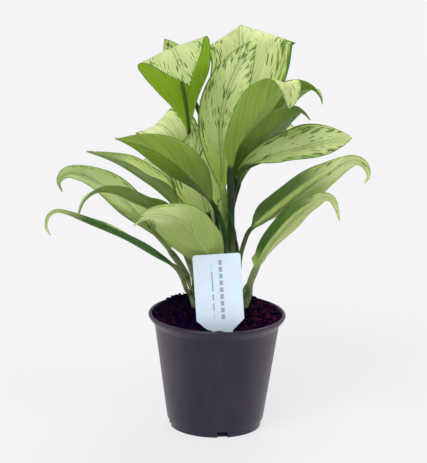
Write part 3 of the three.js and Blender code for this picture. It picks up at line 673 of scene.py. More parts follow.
def placed_on(net, points, shape, **settings):
    """A shape on each point, with its rotation and scale as the settings say."""
    node = net.add("GeometryNodeInstanceOnPoints", {"Points": points, "Instance": shape})
    for key, value in settings.items():
        net.put(node.inputs[key], value)
    return node.outputs[0]


def store_on(net, geometry, name, value, domain="POINT"):
    """Stores a number on a geometry inside a tree."""
    node = net.add("GeometryNodeStoreNamedAttribute", {"Geometry": geometry, "Name": name})
    node.data_type = "FLOAT"
    node.domain = domain
    net.put(next(i for i in node.inputs if i.name == "Value" and i.enabled), value)
    return node.outputs[0]


def new_material(name, **constants):
    """A material with one Principled shader whose plain numbers are set by name."""
    material = bpy.data.materials.new(name)
    material.use_nodes = True
    net = Net(material.node_tree)
    shader = next(n for n in material.node_tree.nodes if n.type == "BSDF_PRINCIPLED")
    for key, value in constants.items():
        shader.inputs[key.replace("_", " ")].default_value = value
    return material, net, shader.inputs


def mottle_group():
    """Slow, uneven change from 0 to 1 over a surface."""
    tree = bpy.data.node_groups.get("mottle")
    if tree:
        return tree
    inputs = {
        "Vector": ("Vector", None),
        "Scale": ("Float", 10.0),
        "Low": ("Float", 0.35),
        "High": ("Float", 0.65),
    }
    tree, net, given, out = new_group("mottle", "ShaderNodeTree", inputs, {"Mask": "Float"})
    noise = net.noise(given["Vector"], given["Scale"], 3.0)
    net.put(out["Mask"], net.ramp(noise, given["Low"], given["High"]))
    return tree


def grain_group():
    """Fine grain as a height, for a Bump node."""
    tree = bpy.data.node_groups.get("grain")
    if tree:
        return tree
    inputs = {"Vector": ("Vector", None), "Scale": ("Float", 900.0), "Share": ("Float", 0.3)}
    tree, net, given, out = new_group("grain", "ShaderNodeTree", inputs, {"Height": "Float"})
    fine = net.noise(given["Vector"], given["Scale"])
    wide = net.noise(given["Vector"], net.times(given["Scale"], 0.12), 1.0)
    net.put(out["Height"], net.line(fine, given["Share"], wide))
    return tree


def fleck_group():
    """Separate dark flecks drawn out along the side veins.

    Lay is the place of a point's vein on the midrib, the distance out, both in millimetres, and the seed.
    """
    tree = bpy.data.node_groups.get("vein_flecks")
    if tree:
        return tree
    inputs = {
        "Lay": ("Vector", None),
        "Pitch": ("Float", 8.0),
        "Length": ("Float", 3.0),
        "Share": ("Float", 0.3),
    }
    tree, net, given, out = new_group("vein_flecks", "ShaderNodeTree", inputs, {"Mask": "Float"})
    vein, outward, seed = net.split(given["Lay"])
    ragged = net.times(net.minus(net.noise(given["Lay"], 0.4, 2.0), 0.5), 5.0)
    across = net.over(net.plus(vein, ragged), given["Pitch"])
    across = net.line(seed, 37.3, across)
    far = net.over(net.line(ragged, 0.35, outward), given["Length"])
    cells = net.add("ShaderNodeTexVoronoi", {"Scale": 1.0}, voronoi_dimensions="2D", feature="F1")
    net.put(cells.inputs["Vector"], net.join(across, far, 0.0))
    chance = net.split(cells.outputs["Color"])[0]
    size = net.times(net.minus(given["Share"], chance), 1.3)
    size = net.math("MINIMUM", size, 0.44)
    room = net.minus(size, cells.outputs["Distance"])
    net.put(out["Mask"], net.ramp(room, -0.04, 0.07))
    return tree


def leaf_material(plan):
    material, net, shader = new_material(
        "leaf_blade",
        Specular_IOR_Level=0.27,
        Subsurface_Weight=0.4,
        Subsurface_Scale=0.002,
        Subsurface_Radius=(0.8, 1.0, 0.35),
    )

    lay = net.attribute("lay")
    # The second and third of these numbers are painted shade: at the underside's foot and in the crease
    # along its midrib.
    flecked, deep, crease_shade = net.split(net.attribute("marks"))
    lit, shown, _ = net.split(net.attribute("light"))
    side, share, upper = net.split(net.attribute("spot"))
    young, pale, stem = net.split(net.attribute("tone"))
    vein, outward, seed = net.split(lay)
    edge = net.math("ABSOLUTE", side)
    slow = net.mottle(lay, 0.04, 0.35, 0.68)
    patch = net.mottle(lay, 0.07, 0.4, 0.62)
    drawn = net.join(net.times(vein, 0.5), net.times(outward, 0.1), seed)
    thread = net.ramp(net.noise(drawn, 1.0, 2.0), 0.42, 0.66)

    # Upper side: silver ground, limier to the margin and the tip, and green at the foot of the blade.
    ground = net.mix(slow, plan.silver, plan.cream)
    near_tip = net.ramp(share, 0.7, 1.0, 0.0, 0.4)
    ground = net.mix(net.most(net.ramp(edge, 0.45, 0.95, 0.0, 0.75), near_tip), ground, plan.lime)
    foot = net.mix(young, plan.lit_under_and_foot, plan.under_young)
    # deep, the painted shade at the underside's foot, also sets how green the upper side's foot is.
    footed = net.line(deep, 1.7, 0.1, clamp=True)
    ground = net.mix(net.ramp(share, 0.5, 0.08), ground, foot, footed)
    ground = net.mix(thread, ground, plan.under, 0.16)
    ground = net.mix(net.minus(1.0, pale), ground, plan.under, 0.85)

    # Flecks crowd near the margin and the midrib and leave clear patches between.
    crowd = net.most(net.ramp(edge, 0.4, 0.82, 0.0, 0.6), net.ramp(outward, 7.0, 2.5, 0.0, 0.24))
    crowd = net.times(crowd, net.line(patch, 0.85, 0.45))
    crowd = net.line(patch, 0.16, net.plus(crowd, 0.12))
    crowd = net.times(crowd, net.times(flecked, net.ramp(share, 0.1, 0.35, 0.55, 1.0)))
    flecks = net.group(fleck_group(), Lay=lay, Share=crowd)
    fine = net.group(fleck_group(), Lay=lay, Pitch=4.0, Length=1.7, Share=net.times(crowd, 0.7))
    flecks = net.most(flecks, net.times(fine, 0.8))
    top = net.mix(flecks, ground, plan.fleck, 0.88)

    # A line along the margin, a broken one inside it and one at each side of the midrib.
    broken = net.ramp(net.noise(lay, 0.16, 1.0), 0.45, 0.56)
    inner = net.times(net.ramp(net.apart(edge, 0.83), 0.055, 0.02), broken)
    line = net.most(net.ramp(edge, 0.91, 0.97), net.times(inner, 0.85))
    beside = net.ramp(net.apart(outward, 1.5), 1.0, 0.35)
    broad = net.ramp(edge, 0.5, 0.3)
    beside = net.times(net.times(beside, broad), net.ramp(share, 1.0, 0.75, 0.0, 0.45))
    top = net.mix(net.most(line, beside), top, plan.margin, 0.9)

    # Underside: plain, a little threaded, with a fine darker line at each side of the midrib.
    # Painted light: as lit rises the underside runs from its plain green to a pale lit green, and on to
    # cream where lit goes past 1.
    low = net.mix(lit, plan.under, plan.lit_under_and_foot)
    low = net.mix(net.minus(lit, 1.0, clamp=True), low, plan.cream)
    low = net.mix(young, low, plan.under_young)
    low = net.mix(slow, low, plan.rib, 0.14)
    low = net.mix(thread, low, plan.stalk, 0.08)
    # Painted shade: the underside darkens towards the blade's foot as far as deep says, less where it has
    # painted light.
    shade = net.times(net.ramp(share, 0.65, 0.05), deep)
    shade = net.times(shade, net.minus(1.0, lit, clamp=True))
    banded = net.join(net.times(vein, 0.11), net.times(outward, 0.02), seed)
    low = net.mix(net.ramp(net.noise(banded, 1.0, 1.0), 0.44, 0.6), low, plan.under, 0.16)
    low = net.mix(shade, low, plan.under_shade)
    turn = math.tau / (plan.vein_spacing / MM)
    ridge = net.math("SINE", net.times(vein, turn))
    low = net.mix(net.ramp(ridge, 0.5, 1.0, 0.0, 0.03), low, plan.stalk)
    fine = net.math("SINE", net.times(vein, 5 * turn))
    low = net.mix(net.ramp(fine, -0.2, 1.0, 0.0, 0.1), low, plan.stalk)
    # Painted shade in the crease along the underside's midrib: where it is strong, the pale midrib line
    # gives way to a dark one.
    low = net.mix(net.ramp(outward, 1.5, 0.7, 0.0, 0.12), low, plan.rib, net.minus(1.0, crease_shade))
    crease = net.times(net.ramp(outward, 2.2, 0.9), net.times(crease_shade, crease_shade))
    low = net.mix(crease, low, plan.under, broad)
    low = net.mix(net.ramp(net.apart(outward, 2.0), 0.8, 0.2, 0.0, 0.09), low, plan.stalk)
    low = net.mix(net.ramp(edge, 0.95, 0.99, 0.0, 0.5), low, plan.stalk)
    low = net.mix(shown, low, top)

    # Stalk and sheath, paler towards the soil.
    level = net.split(net.object_place())[2]
    dull = net.mottle(lay, 0.12, 0.45, 0.7)
    stalk = net.mix(dull, plan.stalk, plan.under, 0.7)
    sheath = net.mix(dull, plan.sheath, plan.under, 0.45)
    stalk = net.mix(net.ramp(level, 0.178, 0.132), stalk, sheath)
    net.put(shader["Base Color"], net.mix(stem, net.mix(upper, low, top), stalk))
    net.put(shader["Roughness"], net.line(slow, 0.12, net.line(upper, -0.06, 0.44)))
    height = net.plus(net.times(net.noise(lay, 1.4), 0.5), net.times(thread, 0.35))
    net.put(shader["Normal"], net.bump(height, 0.3, 0.0004))
    return material


# Leaves.


def smooth(share):
    share = np.clip(share, 0.0, 1.0)
    return share * share * (3 - 2 * share)


def blend(a, b, share):
    return a + (b - a) * share


def staged(values, share):
    """A value given at the blade's base, middle and tip, read at a share from 0 to 1."""
    base, middle, tip = values
    lower = blend(base, middle, smooth(2 * share))
    upper = blend(middle, tip, smooth(2 * share - 1))
    return np.where(share < 0.5, lower, upper)


def spline(points, shares):
    """A centripetal Catmull-Rom curve through points, read at shares from 0 to 1."""
    points = np.asarray(points, float)
    full = np.vstack([2 * points[0] - points[1], points, 2 * points[-1] - points[-2]])
    spot = np.asarray(shares, float) * (len(points) - 1)
    cell = np.minimum(np.floor(spot).astype(int), len(points) - 2)
    w = (spot - cell)[:, None]
    p0, p1, p2, p3 = (full[cell + k] for k in range(4))

    def gap(a, b):
        return np.sqrt(np.linalg.norm(b - a, axis=1))[:, None]

    d0, d1, d2 = gap(p0, p1), gap(p1, p2), gap(p2, p3)
    t1 = ((p1 - p0) / d0 - (p2 - p0) / (d0 + d1) + (p2 - p1) / d1) * d1
    t2 = ((p2 - p1) / d1 - (p3 - p1) / (d1 + d2) + (p3 - p2) / d2) * d1
    return p1 + t1 * w + (3 * (p2 - p1) - 2 * t1 - t2) * w**2 + (2 * (p1 - p2) + t1 + t2) * w**3


def cane_spot(name, height):
    """The point on a cane's axis at a height, and its radius there."""
    path, radius = CANES[name]
    dense = spline(path, np.linspace(0, 1, 400))
    place = np.array([np.interp(height, dense[:, 2], dense[:, k]) for k in range(3)])
    share = np.clip((height - CANE_BOTTOM) / (path[-1][2] - CANE_BOTTOM), 0, 1)
    return place, blend(radius[0], radius[1], share)


def square(vector, axis):
    vector = vector - np.dot(vector, axis) * axis
    return vector / np.linalg.norm(vector)


def midrib(leaf):
    """What is read along a leaf's midrib, from its seat on the cane to its tip.

    Each length has its place, its tangent and up, the way that the upper side faces. start and total are
    the lengths to the blade and to the tip. twist turns the sheath's inside to the cane.
    """
    around = math.radians(leaf["around"])
    out = np.array([math.cos(around), math.sin(around), 0])
    seat, radius = cane_spot(leaf["cane"], leaf["seat"])
    rise, _ = cane_spot(leaf["cane"], leaf["seat"] + SHEATH["first_rise"])
    first = radius + CLEARANCE + SHEATH["thickness"] / 2
    points = [seat + out * first, rise + out * (radius + CLEARANCE + SHEATH["first_gap"])]
    points = np.array(points + leaf["path"])
    dense = STEPS["dense"]
    place = spline(points, np.linspace(0, 1, dense + 1))
    tangent = np.gradient(place, axis=0)
    tangent /= np.linalg.norm(tangent, axis=1)[:, None]
    length = np.concatenate([[0], np.cumsum(np.linalg.norm(np.diff(place, axis=0), axis=1))])
    start = length[round((leaf["blade"] + 2) / (len(points) - 1) * dense)]
    total = length[-1]
    middle = int(np.searchsorted(length, (start + total) / 2))
    up = np.zeros_like(place)
    up[middle] = square(np.array(leaf["face"], float), tangent[middle])
    for i in range(middle + 1, dense + 1):
        up[i] = square(up[i - 1], tangent[i])
    for i in range(middle - 1, -1, -1):
        up[i] = square(up[i + 1], tangent[i])
    inward = square(-out, tangent[0])
    twist = math.atan2(np.dot(np.cross(up[0], inward), tangent[0]), np.dot(up[0], inward))
    rib = dict(place=place, tangent=tangent, up=up, length=length)
    return rib | dict(start=start, total=total, twist=twist, seat_radius=first)


def ribbon(rib, distances):
    """The midrib read at distances from the seat."""

    def read(name):
        values = rib[name]
        return np.stack([np.interp(distances, rib["length"], values[:, k]) for k in range(3)], axis=1)

    share = np.clip((distances - rib["start"]) / (rib["total"] - rib["start"]), 0, 1)
    stalk = np.clip(distances / rib["start"], 0, 1)
    turn = (rib["twist"] * smooth(1 - stalk))[:, None]
    tangent = read("tangent")
    tangent /= np.linalg.norm(tangent, axis=1)[:, None]
    facing = read("up")
    facing -= (facing * tangent).sum(1)[:, None] * tangent
    facing /= np.linalg.norm(facing, axis=1)[:, None]
    facing = facing * np.cos(turn) + np.cross(tangent, facing) * np.sin(turn)
    return read("place"), facing, np.cross(tangent, facing), share, stalk


def half_width(leaf, share):
    """Half width of the blade: round at the base and drawn out at the tip."""
    belly = leaf["belly"]
    rise = np.clip(share / belly, 0, 1)
    fall = np.clip((share - belly) / (1 - belly), 0, 1)
    rising = (1 - (1 - rise) ** leaf["swell"]) ** 0.9
    falling = (1 - fall ** BLADE["tip_curve"]) ** leaf["draw"]
    neck = leaf["neck"] * smooth(share / 0.08) * (1 - smooth(share / 0.5))
    return np.maximum(leaf["width"] / 2 * np.where(share < belly, rising, falling), neck)


def strip_faces(rows, width):
    """Faces of a strip with an upper and a lower side, closed along its margins and at its ends."""
    corner = np.arange(rows * 2 * width).reshape(rows, 2, width)
    faces = []
    for i in range(rows - 1):
        for j in range(width - 1):
            here, ahead = corner[i, 0], corner[i + 1, 0]
            faces.append((here[j], here[j + 1], ahead[j + 1], ahead[j]))
            here, ahead = corner[i, 1], corner[i + 1, 1]
            faces.append((here[j], ahead[j], ahead[j + 1], here[j + 1]))
        for j, flip in ((0, False), (width - 1, True)):
            quad = (corner[i, 1, j], corner[i, 0, j], corner[i + 1, 0, j], corner[i + 1, 1, j])
            faces.append(quad[::-1] if flip else quad)
    for i, flip in ((0, False), (rows - 1, True)):
        for j in range(width - 1):
            quad = (corner[i, 0, j], corner[i, 1, j], corner[i, 1, j + 1], corner[i, 0, j + 1])
            faces.append(quad[::-1] if flip else quad)
    return [tuple(int(k) for k in face) for face in faces]


def leaf_mesh(leaf, index, plan):
    """Sheath, stalk and blade as one closed mesh, with what its material reads stored on its points."""
    rib = midrib(leaf)
    start, total = rib["start"], rib["total"]
    even = np.linspace(0, 1, STEPS["blade"] + 1)
    eased = (even + (1 - np.cos(np.pi * even)) / 2) / 2
    below_blade = start * np.arange(STEPS["stalk"]) / STEPS["stalk"]
    distances = np.concatenate([below_blade, blend(start, total, eased)])
    place, facing, side, share, stalk = ribbon(rib, distances)
    on_blade = stalk >= 1
    stalk_radius = leaf["stalk"]
    sheath = 1 - smooth(stalk / SHEATH["share"])
    round_off = np.where(on_blade, 1 - smooth(share / BLADE["join_share"]), 1 - sheath)
    tail = leaf["tail"] * np.minimum(1, (1 - share) / 0.06) ** 0.6
    least = np.where(share < 0.5, stalk_radius, np.maximum(tail, BLADE["tip_half"]))
    wide = np.maximum(half_width(leaf, share), least)
    wide = wide + leaf["spread"] * np.exp(-(((share - SPREAD["at"]) / SPREAD["breadth"]) ** 2))
    half = np.where(on_blade, wide, blend(stalk_radius, SHEATH["half"], sheath))

    # hand is -1 on the left and 1 on the right. outward is 0 at the midrib and 1 at the margin.
    width = STEPS["across"] + 1
    even_across = np.linspace(-1, 1, width)
    hand = np.sign(even_across)
    outward = np.abs(even_across) ** BLADE["crowding"]
    blade = on_blade[:, None]
    folds = [np.radians(staged(leaf[key], share)) for key in ("fold", "fold_right")]
    fold = np.where(hand[None, :] > 0, folds[1][:, None], folds[0][:, None]) * blade
    curl = np.where(on_blade, np.radians(staged(leaf["curl"], share)), half / rib["seat_radius"])[:, None]
    bend = np.where(np.abs(curl) < 1e-6, 1e-6, curl)
    skew = 1 - hand[None, :] * leaf["skew"] * np.minimum(1, 4 * share)[:, None]
    reach = half[:, None] * np.where(blade, skew, 1)
    sideways = hand * reach * (np.sin(fold + bend * outward) - np.sin(fold)) / bend
    lift = reach * (np.cos(fold) - np.cos(fold + bend * outward)) / bend
    height, count, phase = leaf["wave"]
    swing = np.where(on_blade, height * np.sin(np.pi * share), 0)[:, None]
    ripple = swing * outward * outward * np.sin(2 * np.pi * count * share[:, None] + phase + hand * 0.8)
    angle = hand * (fold + bend * outward)

    # Thickness on both sides, with the midrib below and its channel above.
    out_mm = reach * outward
    rib_fade = np.sqrt(np.clip(1 - share, 0, 1))[:, None]
    skin = np.where(blade, plan.blade_thickness / MM, SHEATH["thickness"]) / 2
    thinned = blend(1.0, MARGIN["thinned"], (outward - MARGIN["start"]) / MARGIN["breadth"])
    skin = skin * np.where(outward > MARGIN["start"], thinned, 1.0)
    near = np.exp(-((out_mm / (plan.rib_width / MM * (0.45 + 0.55 * rib_fade))) ** 2)) * blade
    below = skin + plan.rib_height / MM * rib_fade * near
    channel = np.exp(-((out_mm / BLADE["channel"]) ** 2)) * blade
    above = skin - plan.groove_depth / MM * rib_fade * channel

    # The round stalk, which the blade and the sheath run into.
    ring = np.pi * (np.arange(width) + 0.5) / width
    round_x = -stalk_radius * np.cos(ring)[None, :]
    round_y = stalk_radius * np.sin(ring)[None, :]
    rounded = round_off[:, None]
    layers = []
    for thick, sign in ((above, 1), (-below, -1)):
        aside = blend(sideways - np.sin(angle) * thick, round_x, rounded)
        above_rib = blend(lift + ripple + np.cos(angle) * thick, sign * round_y, rounded)
        across = side[:, None] * aside[..., None]
        layers.append(place[:, None] + across + facing[:, None] * above_rib[..., None])
    points = np.stack(layers, axis=1) * MM

    rows = len(distances)
    mesh = mesh_of(leaf["name"], points.reshape(-1, 3), strip_faces(rows, width))

    # Where on the midrib a point's side vein starts: the same millimetre for all points of one vein.
    vein = (distances - start)[:, None] - VEIN["slant"] * out_mm - VEIN["bow"] * out_mm**2
    pale = leaf["pale"] - leaf["green_tip"] * smooth((share - 0.5) / FADE["green_tip"])[:, None]
    # Painted light on the underside: lit for its left and right halves, raised towards the blade's foot.
    to_right = smooth(0.5 + (hand * outward - leaf["tone_reach"]) * FADE["halves"])
    lit = blend(*leaf["lit"], to_right)[None, :]
    lit = np.maximum(lit, leaf["lit_foot"] * (1 - smooth(share / FADE["lit_foot"]))[:, None])
    shown = smooth((share - leaf["shown_from"]) / FADE["shown"])[:, None]
    stem = (1 - leaf["pale_stalk"]) * (1 - smooth((share - 0.01) / FADE["stem"]))
    signed_share = np.where(on_blade, share, stalk - 1)
    soft = smooth(share / 0.2) * smooth((1 - share) / 0.2)
    soft = soft[:, None] * smooth((1 - outward) / 0.12)[None, :] * smooth((out_mm - 1) / 5)

    def both(values):
        full = np.broadcast_to(values, (rows, width))
        return np.stack([full, full], axis=1)

    top = np.stack([np.ones((rows, width)), np.zeros((rows, width))], axis=1)
    vectors = {
        "lay": (both(vein), both(out_mm), both(float(index))),
        "spot": (both((hand * outward)[None, :]), both(signed_share[:, None]), top),
        "tone": (both(leaf["young"]), both(pale), both(stem[:, None])),
        "light": (both(lit), both(shown), both(0.0)),
        "marks": [both(value) for value in leaf["marks"]],
    }
    for name, parts in vectors.items():
        store(mesh, name, np.stack(parts, axis=-1))
    store(mesh, "facing", np.broadcast_to(facing[:, None, None, :], (rows, 2, width, 3)))
    store(mesh, "soft", both(soft), "FLOAT")
    return mesh


def relief_tree():
    """Moves both faces of a blade alike: pleats between the side veins and a slow crinkle."""
    inputs = {
        "Vein spacing": ("Float", 9.0),
        "Vein depth": ("Float", 0.0002),
        "Crinkle height": ("Float", 0.0005),
        "Crinkle size": ("Float", 0.016),
        "Seed": ("Float", 0.0),
    }
    tree, net, given, out = shape_group("blade_relief", inputs)

    def named(name, kind):
        node = net.add("GeometryNodeInputNamedAttribute", data_type=kind)
        node.inputs[0].default_value = name
        return node.outputs[0]

    along = net.split(named("lay", "FLOAT_VECTOR"))[0]
    turn = net.times(net.over(along, given["Vein spacing"]), math.tau)
    pleat = net.times(net.math("COSINE", turn), given["Vein depth"])
    place = net.add("GeometryNodeInputPosition").outputs[0]
    scaled = net.vector("SCALE", place, net.over(1.0, given["Crinkle size"]))
    noise = net.add("ShaderNodeTexNoise", {"Scale": 1.0, "Detail": 1.0}, noise_dimensions="4D")
    net.put(noise.inputs["Vector"], scaled)
    net.put(noise.inputs["W"], given["Seed"])
    crinkle = net.times(net.minus(noise.outputs[0], 0.5), given["Crinkle height"])
    height = net.times(net.plus(pleat, crinkle), named("soft", "FLOAT"))
    offset = net.vector("SCALE", named("facing", "FLOAT_VECTOR"), height)
    moved = net.add("GeometryNodeSetPosition", {"Geometry": given["Geometry"], "Offset": offset})
    net.put(out["Geometry"], painted(net, moved, given))
    return tree


class PLANT_OT_leaves(bpy.types.Operator):
    """Makes each leaf as one piece of sheath, stalk and blade, in place of its solid"""

    bl_idname = "plant.leaves"
    bl_label = "Leaves"

    def execute(self, context):
        plan = context.scene.plant_leaves
        material = leaf_material(plan)
        tree = relief_tree()
        for index, leaf in enumerate(LEAVES):
            leaf = PLAIN_LEAF | {"fold_right": leaf["fold"]} | leaf
            piece = new_object(leaf["name"] + "_fine", leaf_mesh(leaf, index, plan))
            values = {
                "Vein spacing": plan.vein_spacing / MM,
                "Vein depth": plan.vein_depth,
                "Crinkle height": plan.crinkle_height,
                "Crinkle size": plan.crinkle_size,
                "Seed": plan.seed + index * SEED_STEP,
                "Material": material,
            }
            bake_nodes(piece, tree, values)
            finish_piece(piece, "leaf", leaf["name"])
        return {"FINISHED"}


# Canes.


def cane_tree():
    """A round cane along a line, swollen at evenly spaced leaf scars."""
    inputs = {
        "Foot radius": ("Float", 0.0045),
        "Tip radius": ("Float", 0.0035),
        "Ring spacing": ("Float", 0.011),
        "Ring swell": ("Float", 0.0003),
        "Sides": ("Int", 28),
    }
    tree, net, given, out = shape_group("ringed_cane", inputs)
    curve = net.add("GeometryNodeMeshToCurve", {0: given["Geometry"]}).outputs[0]
    parameter = net.add("GeometryNodeSplineParameter").outputs
    share, along = parameter["Factor"], parameter["Length"]
    turn = net.times(net.over(along, given["Ring spacing"]), math.tau)
    ring = net.ramp(net.math("COSINE", turn), 0.82, 0.98)
    taper = net.times(share, net.minus(given["Tip radius"], given["Foot radius"]))
    plain = net.plus(given["Foot radius"], taper)
    radius = net.plus(plain, net.times(ring, given["Ring swell"]))
    close = net.math("POWER", net.ramp(share, 1.0, 0.965), 0.5)
    marked = store_on(net, curve, "ring", ring)
    profile = net.add("GeometryNodeCurvePrimitiveCircle", {"Resolution": given["Sides"], "Radius": 1.0})
    swept = net.add("GeometryNodeCurveToMesh", {"Curve": marked, "Fill Caps": True})
    net.put(swept.inputs["Profile Curve"], profile.outputs[0])
    net.put(swept.inputs["Scale"], net.times(radius, close))
    smoothed = net.add("GeometryNodeSetShadeSmooth", {"Geometry": swept.outputs[0]})
    net.put(out["Geometry"], painted(net, smoothed, given))
    return tree


def cane_material(plan):
    material, net, shader = new_material("cane_skin", Specular_IOR_Level=0.4)
    ring = net.attribute("ring", "Fac")
    place = net.object_place()
    mask = net.mottle(place, 160.0, 0.4, 0.65)
    colour = net.mix(mask, plan.green, plan.scar, 0.5)
    net.put(shader["Base Color"], net.mix(ring, colour, plan.scar, 0.8))
    net.put(shader["Roughness"], net.line(mask, 0.15, 0.5))
    height = net.group(grain_group(), Vector=place, Scale=1500.0)
    net.put(shader["Normal"], net.bump(height, 0.3, 0.0003))
    return material


class PLANT_OT_canes(bpy.types.Operator):
    """Makes the short canes with their ringed leaf scars"""

    bl_idname = "plant.canes"
    bl_label = "Canes"

    def execute(self, context):
        plan = context.scene.plant_canes
        material = cane_material(plan)
        tree = cane_tree()
        for name, (path, radius) in CANES.items():
            points = spline(path, np.linspace(0, 1, CANE_STEPS + 1)) * MM
            mesh = bpy.data.meshes.new(name)
            mesh.from_pydata([tuple(p) for p in points], [(i, i + 1) for i in range(CANE_STEPS)], [])
            piece = new_object("cane_" + name + "_fine", mesh)
            values = {
                "Foot radius": radius[0] * MM - plan.ring_swell,
                "Tip radius": radius[1] * MM - plan.ring_swell,
                "Ring spacing": plan.ring_spacing,
                "Ring swell": plan.ring_swell,
                "Sides": plan.sides,
                "Material": material,
            }
            bake_nodes(piece, tree, values)
            finish_piece(piece, "cane", "cane_" + name)
        return {"FINISHED"}


# Pot.

# The rolled rim, as steps out and up in millimetres: the collar from its lower edge, the lip from its
# top.
COLLAR = [(-4.2, 0.7), (-3.1, 2), (-2, 3.3), (-1.1, 4.5), (-0.4, 5.6), (0, 6.7)]
LIP = [(-0.2, -1.1), (-0.7, -0.4), (-1.5, 0), (-2.3, -0.1), (-3, -0.7), (-3.3, -1.6)]


def revolve(name, profile, sides):
    """A closed mesh turned about Z from a profile that starts and ends on the axis."""
    points = [(0.0, 0.0, profile[0][1])]
    for radius, z in profile[1:-1]:
        points += [(x, y, z) for x, y in circle(radius, sides)]
    points.append((0.0, 0.0, profile[-1][1]))
    return mesh_of(name, points, ring_faces(sides, len(profile) - 2))


def beside(radius, height, steps):
    """Points of a profile, given as steps out and up in millimetres from a radius and a height."""
    return [(radius + out * MM, height + up * MM) for out, up in steps]


def between(start, end, count):
    """Points that divide a profile's straight line into a count of equal parts."""
    return [tuple(blend(a, b, i / count) for a, b in zip(start, end)) for i in range(1, count)]


def slot_tree():
    """Cuts a ring of drain slots out of a pot."""
    inputs = {
        "Slots": ("Int", 6),
        "Width": ("Float", 0.009),
        "Height": ("Float", 0.0052),
        "Radius": ("Float", 0.041),
        "Depth": ("Float", 0.009),
        "Turn": ("Float", 0.0),
    }
    tree, net, given, out = shape_group("drain_slots", inputs)
    below = net.times(given["Height"], 2.0)
    cutter = net.add("GeometryNodeMeshCube", {"Size": net.join(given["Depth"], given["Width"], below)})
    spots = net.add("GeometryNodeMeshCircle", {"Vertices": given["Slots"], "Radius": given["Radius"]})
    index = net.add("GeometryNodeInputIndex").outputs[0]
    step = net.over(math.tau, given["Slots"])
    turn = net.join(0.0, 0.0, net.times(index, step))
    ring = placed_on(net, spots.outputs[0], cutter.outputs[0], Rotation=turn)
    real = net.add("GeometryNodeRealizeInstances", {0: ring})
    placed = net.add("GeometryNodeTransform", {"Geometry": real.outputs[0]})
    net.put(placed.inputs["Rotation"], net.join(0.0, 0.0, given["Turn"]))
    cut = net.add("GeometryNodeMeshBoolean", operation="DIFFERENCE", solver="EXACT")
    net.put(cut.inputs[0], given["Geometry"])
    net.put(cut.inputs[1], placed.outputs[0])
    net.put(out["Geometry"], painted(net, cut, given))
    return tree


def pot_material(plan):
    material, net, shader = new_material("pot_plastic", Specular_IOR_Level=0.32)
    place = net.object_place()
    x, y, z = net.split(place)
    streaks = net.mottle(net.join(x, y, net.times(z, 0.15)), 90.0, 0.35, 0.75)
    clouds = net.mottle(place, 28.0, 0.4, 0.75)
    low = net.ramp(z, 0.02, 0.0)
    dust = net.times(net.mottle(place, 420.0, 0.58, 0.72), 0.35)
    dust = net.times(dust, net.line(low, 0.7, 0.3))
    worn = net.plus(net.times(streaks, 0.1), net.times(clouds, 0.06))
    # Painted sheen: the plastic turns lighter towards its left and right sides, on top of the real
    # streaks, clouds and dust.
    worn = net.plus(worn, net.ramp(net.math("ABSOLUTE", x), 0.02, 0.05, 0.0, 0.45))
    worn = net.plus(worn, dust, clamp=True)
    colour = net.mix(worn, plan.plastic, plan.worn)
    # Dark behind the foot's outer face, where only the drain slots let one see in.
    inside = net.ramp(net.vector("LENGTH", net.join(x, y, 0.0)), 0.0394, 0.0386)
    net.put(shader["Base Color"], net.mix(inside, colour, plan.shadow, net.ramp(z, 0.0065, 0.006)))
    net.put(shader["Roughness"], net.line(streaks, 0.1, net.line(dust, 0.5, 0.34)))
    height = net.group(grain_group(), Vector=place, Scale=2400.0, Share=0.5)
    net.put(shader["Normal"], net.bump(height, 0.12, 0.0004))
    return material


class PLANT_OT_pot(bpy.types.Operator):
    """Makes the nursery pot with its rolled collar, inset foot and drain slots"""

    bl_idname = "plant.pot"
    bl_label = "Pot"

    def execute(self, context):
        plan = context.scene.plant_pot
        under = plan.height - plan.rim_drop
        foot = plan.foot_radius - plan.foot_inset
        rim = plan.rim_radius
        inside = plan.shoulder_radius - plan.wall
        inner_foot = foot - plan.wall + 1 * MM
        profile = [(0, 0), (foot * 0.5, 0)]
        profile += beside(foot, 0, [(-0.8, 0), (-0.2, 0.2), (0, 0.8)])
        profile += beside(foot, plan.foot_height, [(0.4, -1.2), (0.7, -0.6)])
        profile += beside(plan.foot_radius, plan.foot_height, [(0.3, -0.2), (0.6, 0.4)])
        wall_top = (plan.shoulder_radius, under - 1.5 * MM)
        profile += between((plan.foot_radius + 0.6 * MM, plan.foot_height), wall_top, 12)
        profile += [wall_top, (plan.shoulder_radius + 0.5 * MM, under - 0.6 * MM)]
        profile += beside(rim, under, COLLAR)
        profile += beside(rim, plan.height, LIP)
        profile += beside(inside, under, [(1.6, -0.6), (1.2, -1.6)])
        profile += between((inside + 1.2 * MM, under - 1.6 * MM), (inner_foot, plan.floor), 8)
        profile += beside(inner_foot, plan.floor, [(0, 0.6), (-0.8, 0)])
        profile.append((0, plan.floor))
        piece = new_object("pot_fine", revolve("pot_fine", profile, plan.sides))
        values = {
            "Slots": plan.slot_count,
            "Width": plan.slot_width,
            "Height": plan.slot_height,
            "Radius": plan.foot_radius - 0.5 * MM,
            "Turn": plan.slot_turn,
            "Material": pot_material(plan),
        }
        bake_nodes(piece, slot_tree(), values)
        finish_piece(piece, "pot_plastic", "pot")
        return {"FINISHED"}


# Soil.

# The hollow in front of the label: its start behind the card, its breadth and how it runs out, in
# millimetres. No chips lie where it is deeper than the share bare.
HOLLOW = dict(behind=6, slope=8, half=11, runout=9, bare=0.6)
# More chips for each square metre than the least gap ever lets in, so that the gap alone sets them.
CHIP_DENSITY = 400000.0
WAVES = 26


def by_label(x, y):
    """1 just in front of the label's foot, falling to 0 round it."""
    aside = abs(x / MM - LABEL["x"]) - HOLLOW["half"]
    ahead = LABEL["y"] + HOLLOW["behind"] - y / MM
    return float(smooth(ahead / HOLLOW["slope"]) * (1 - smooth(aside / HOLLOW["runout"])))


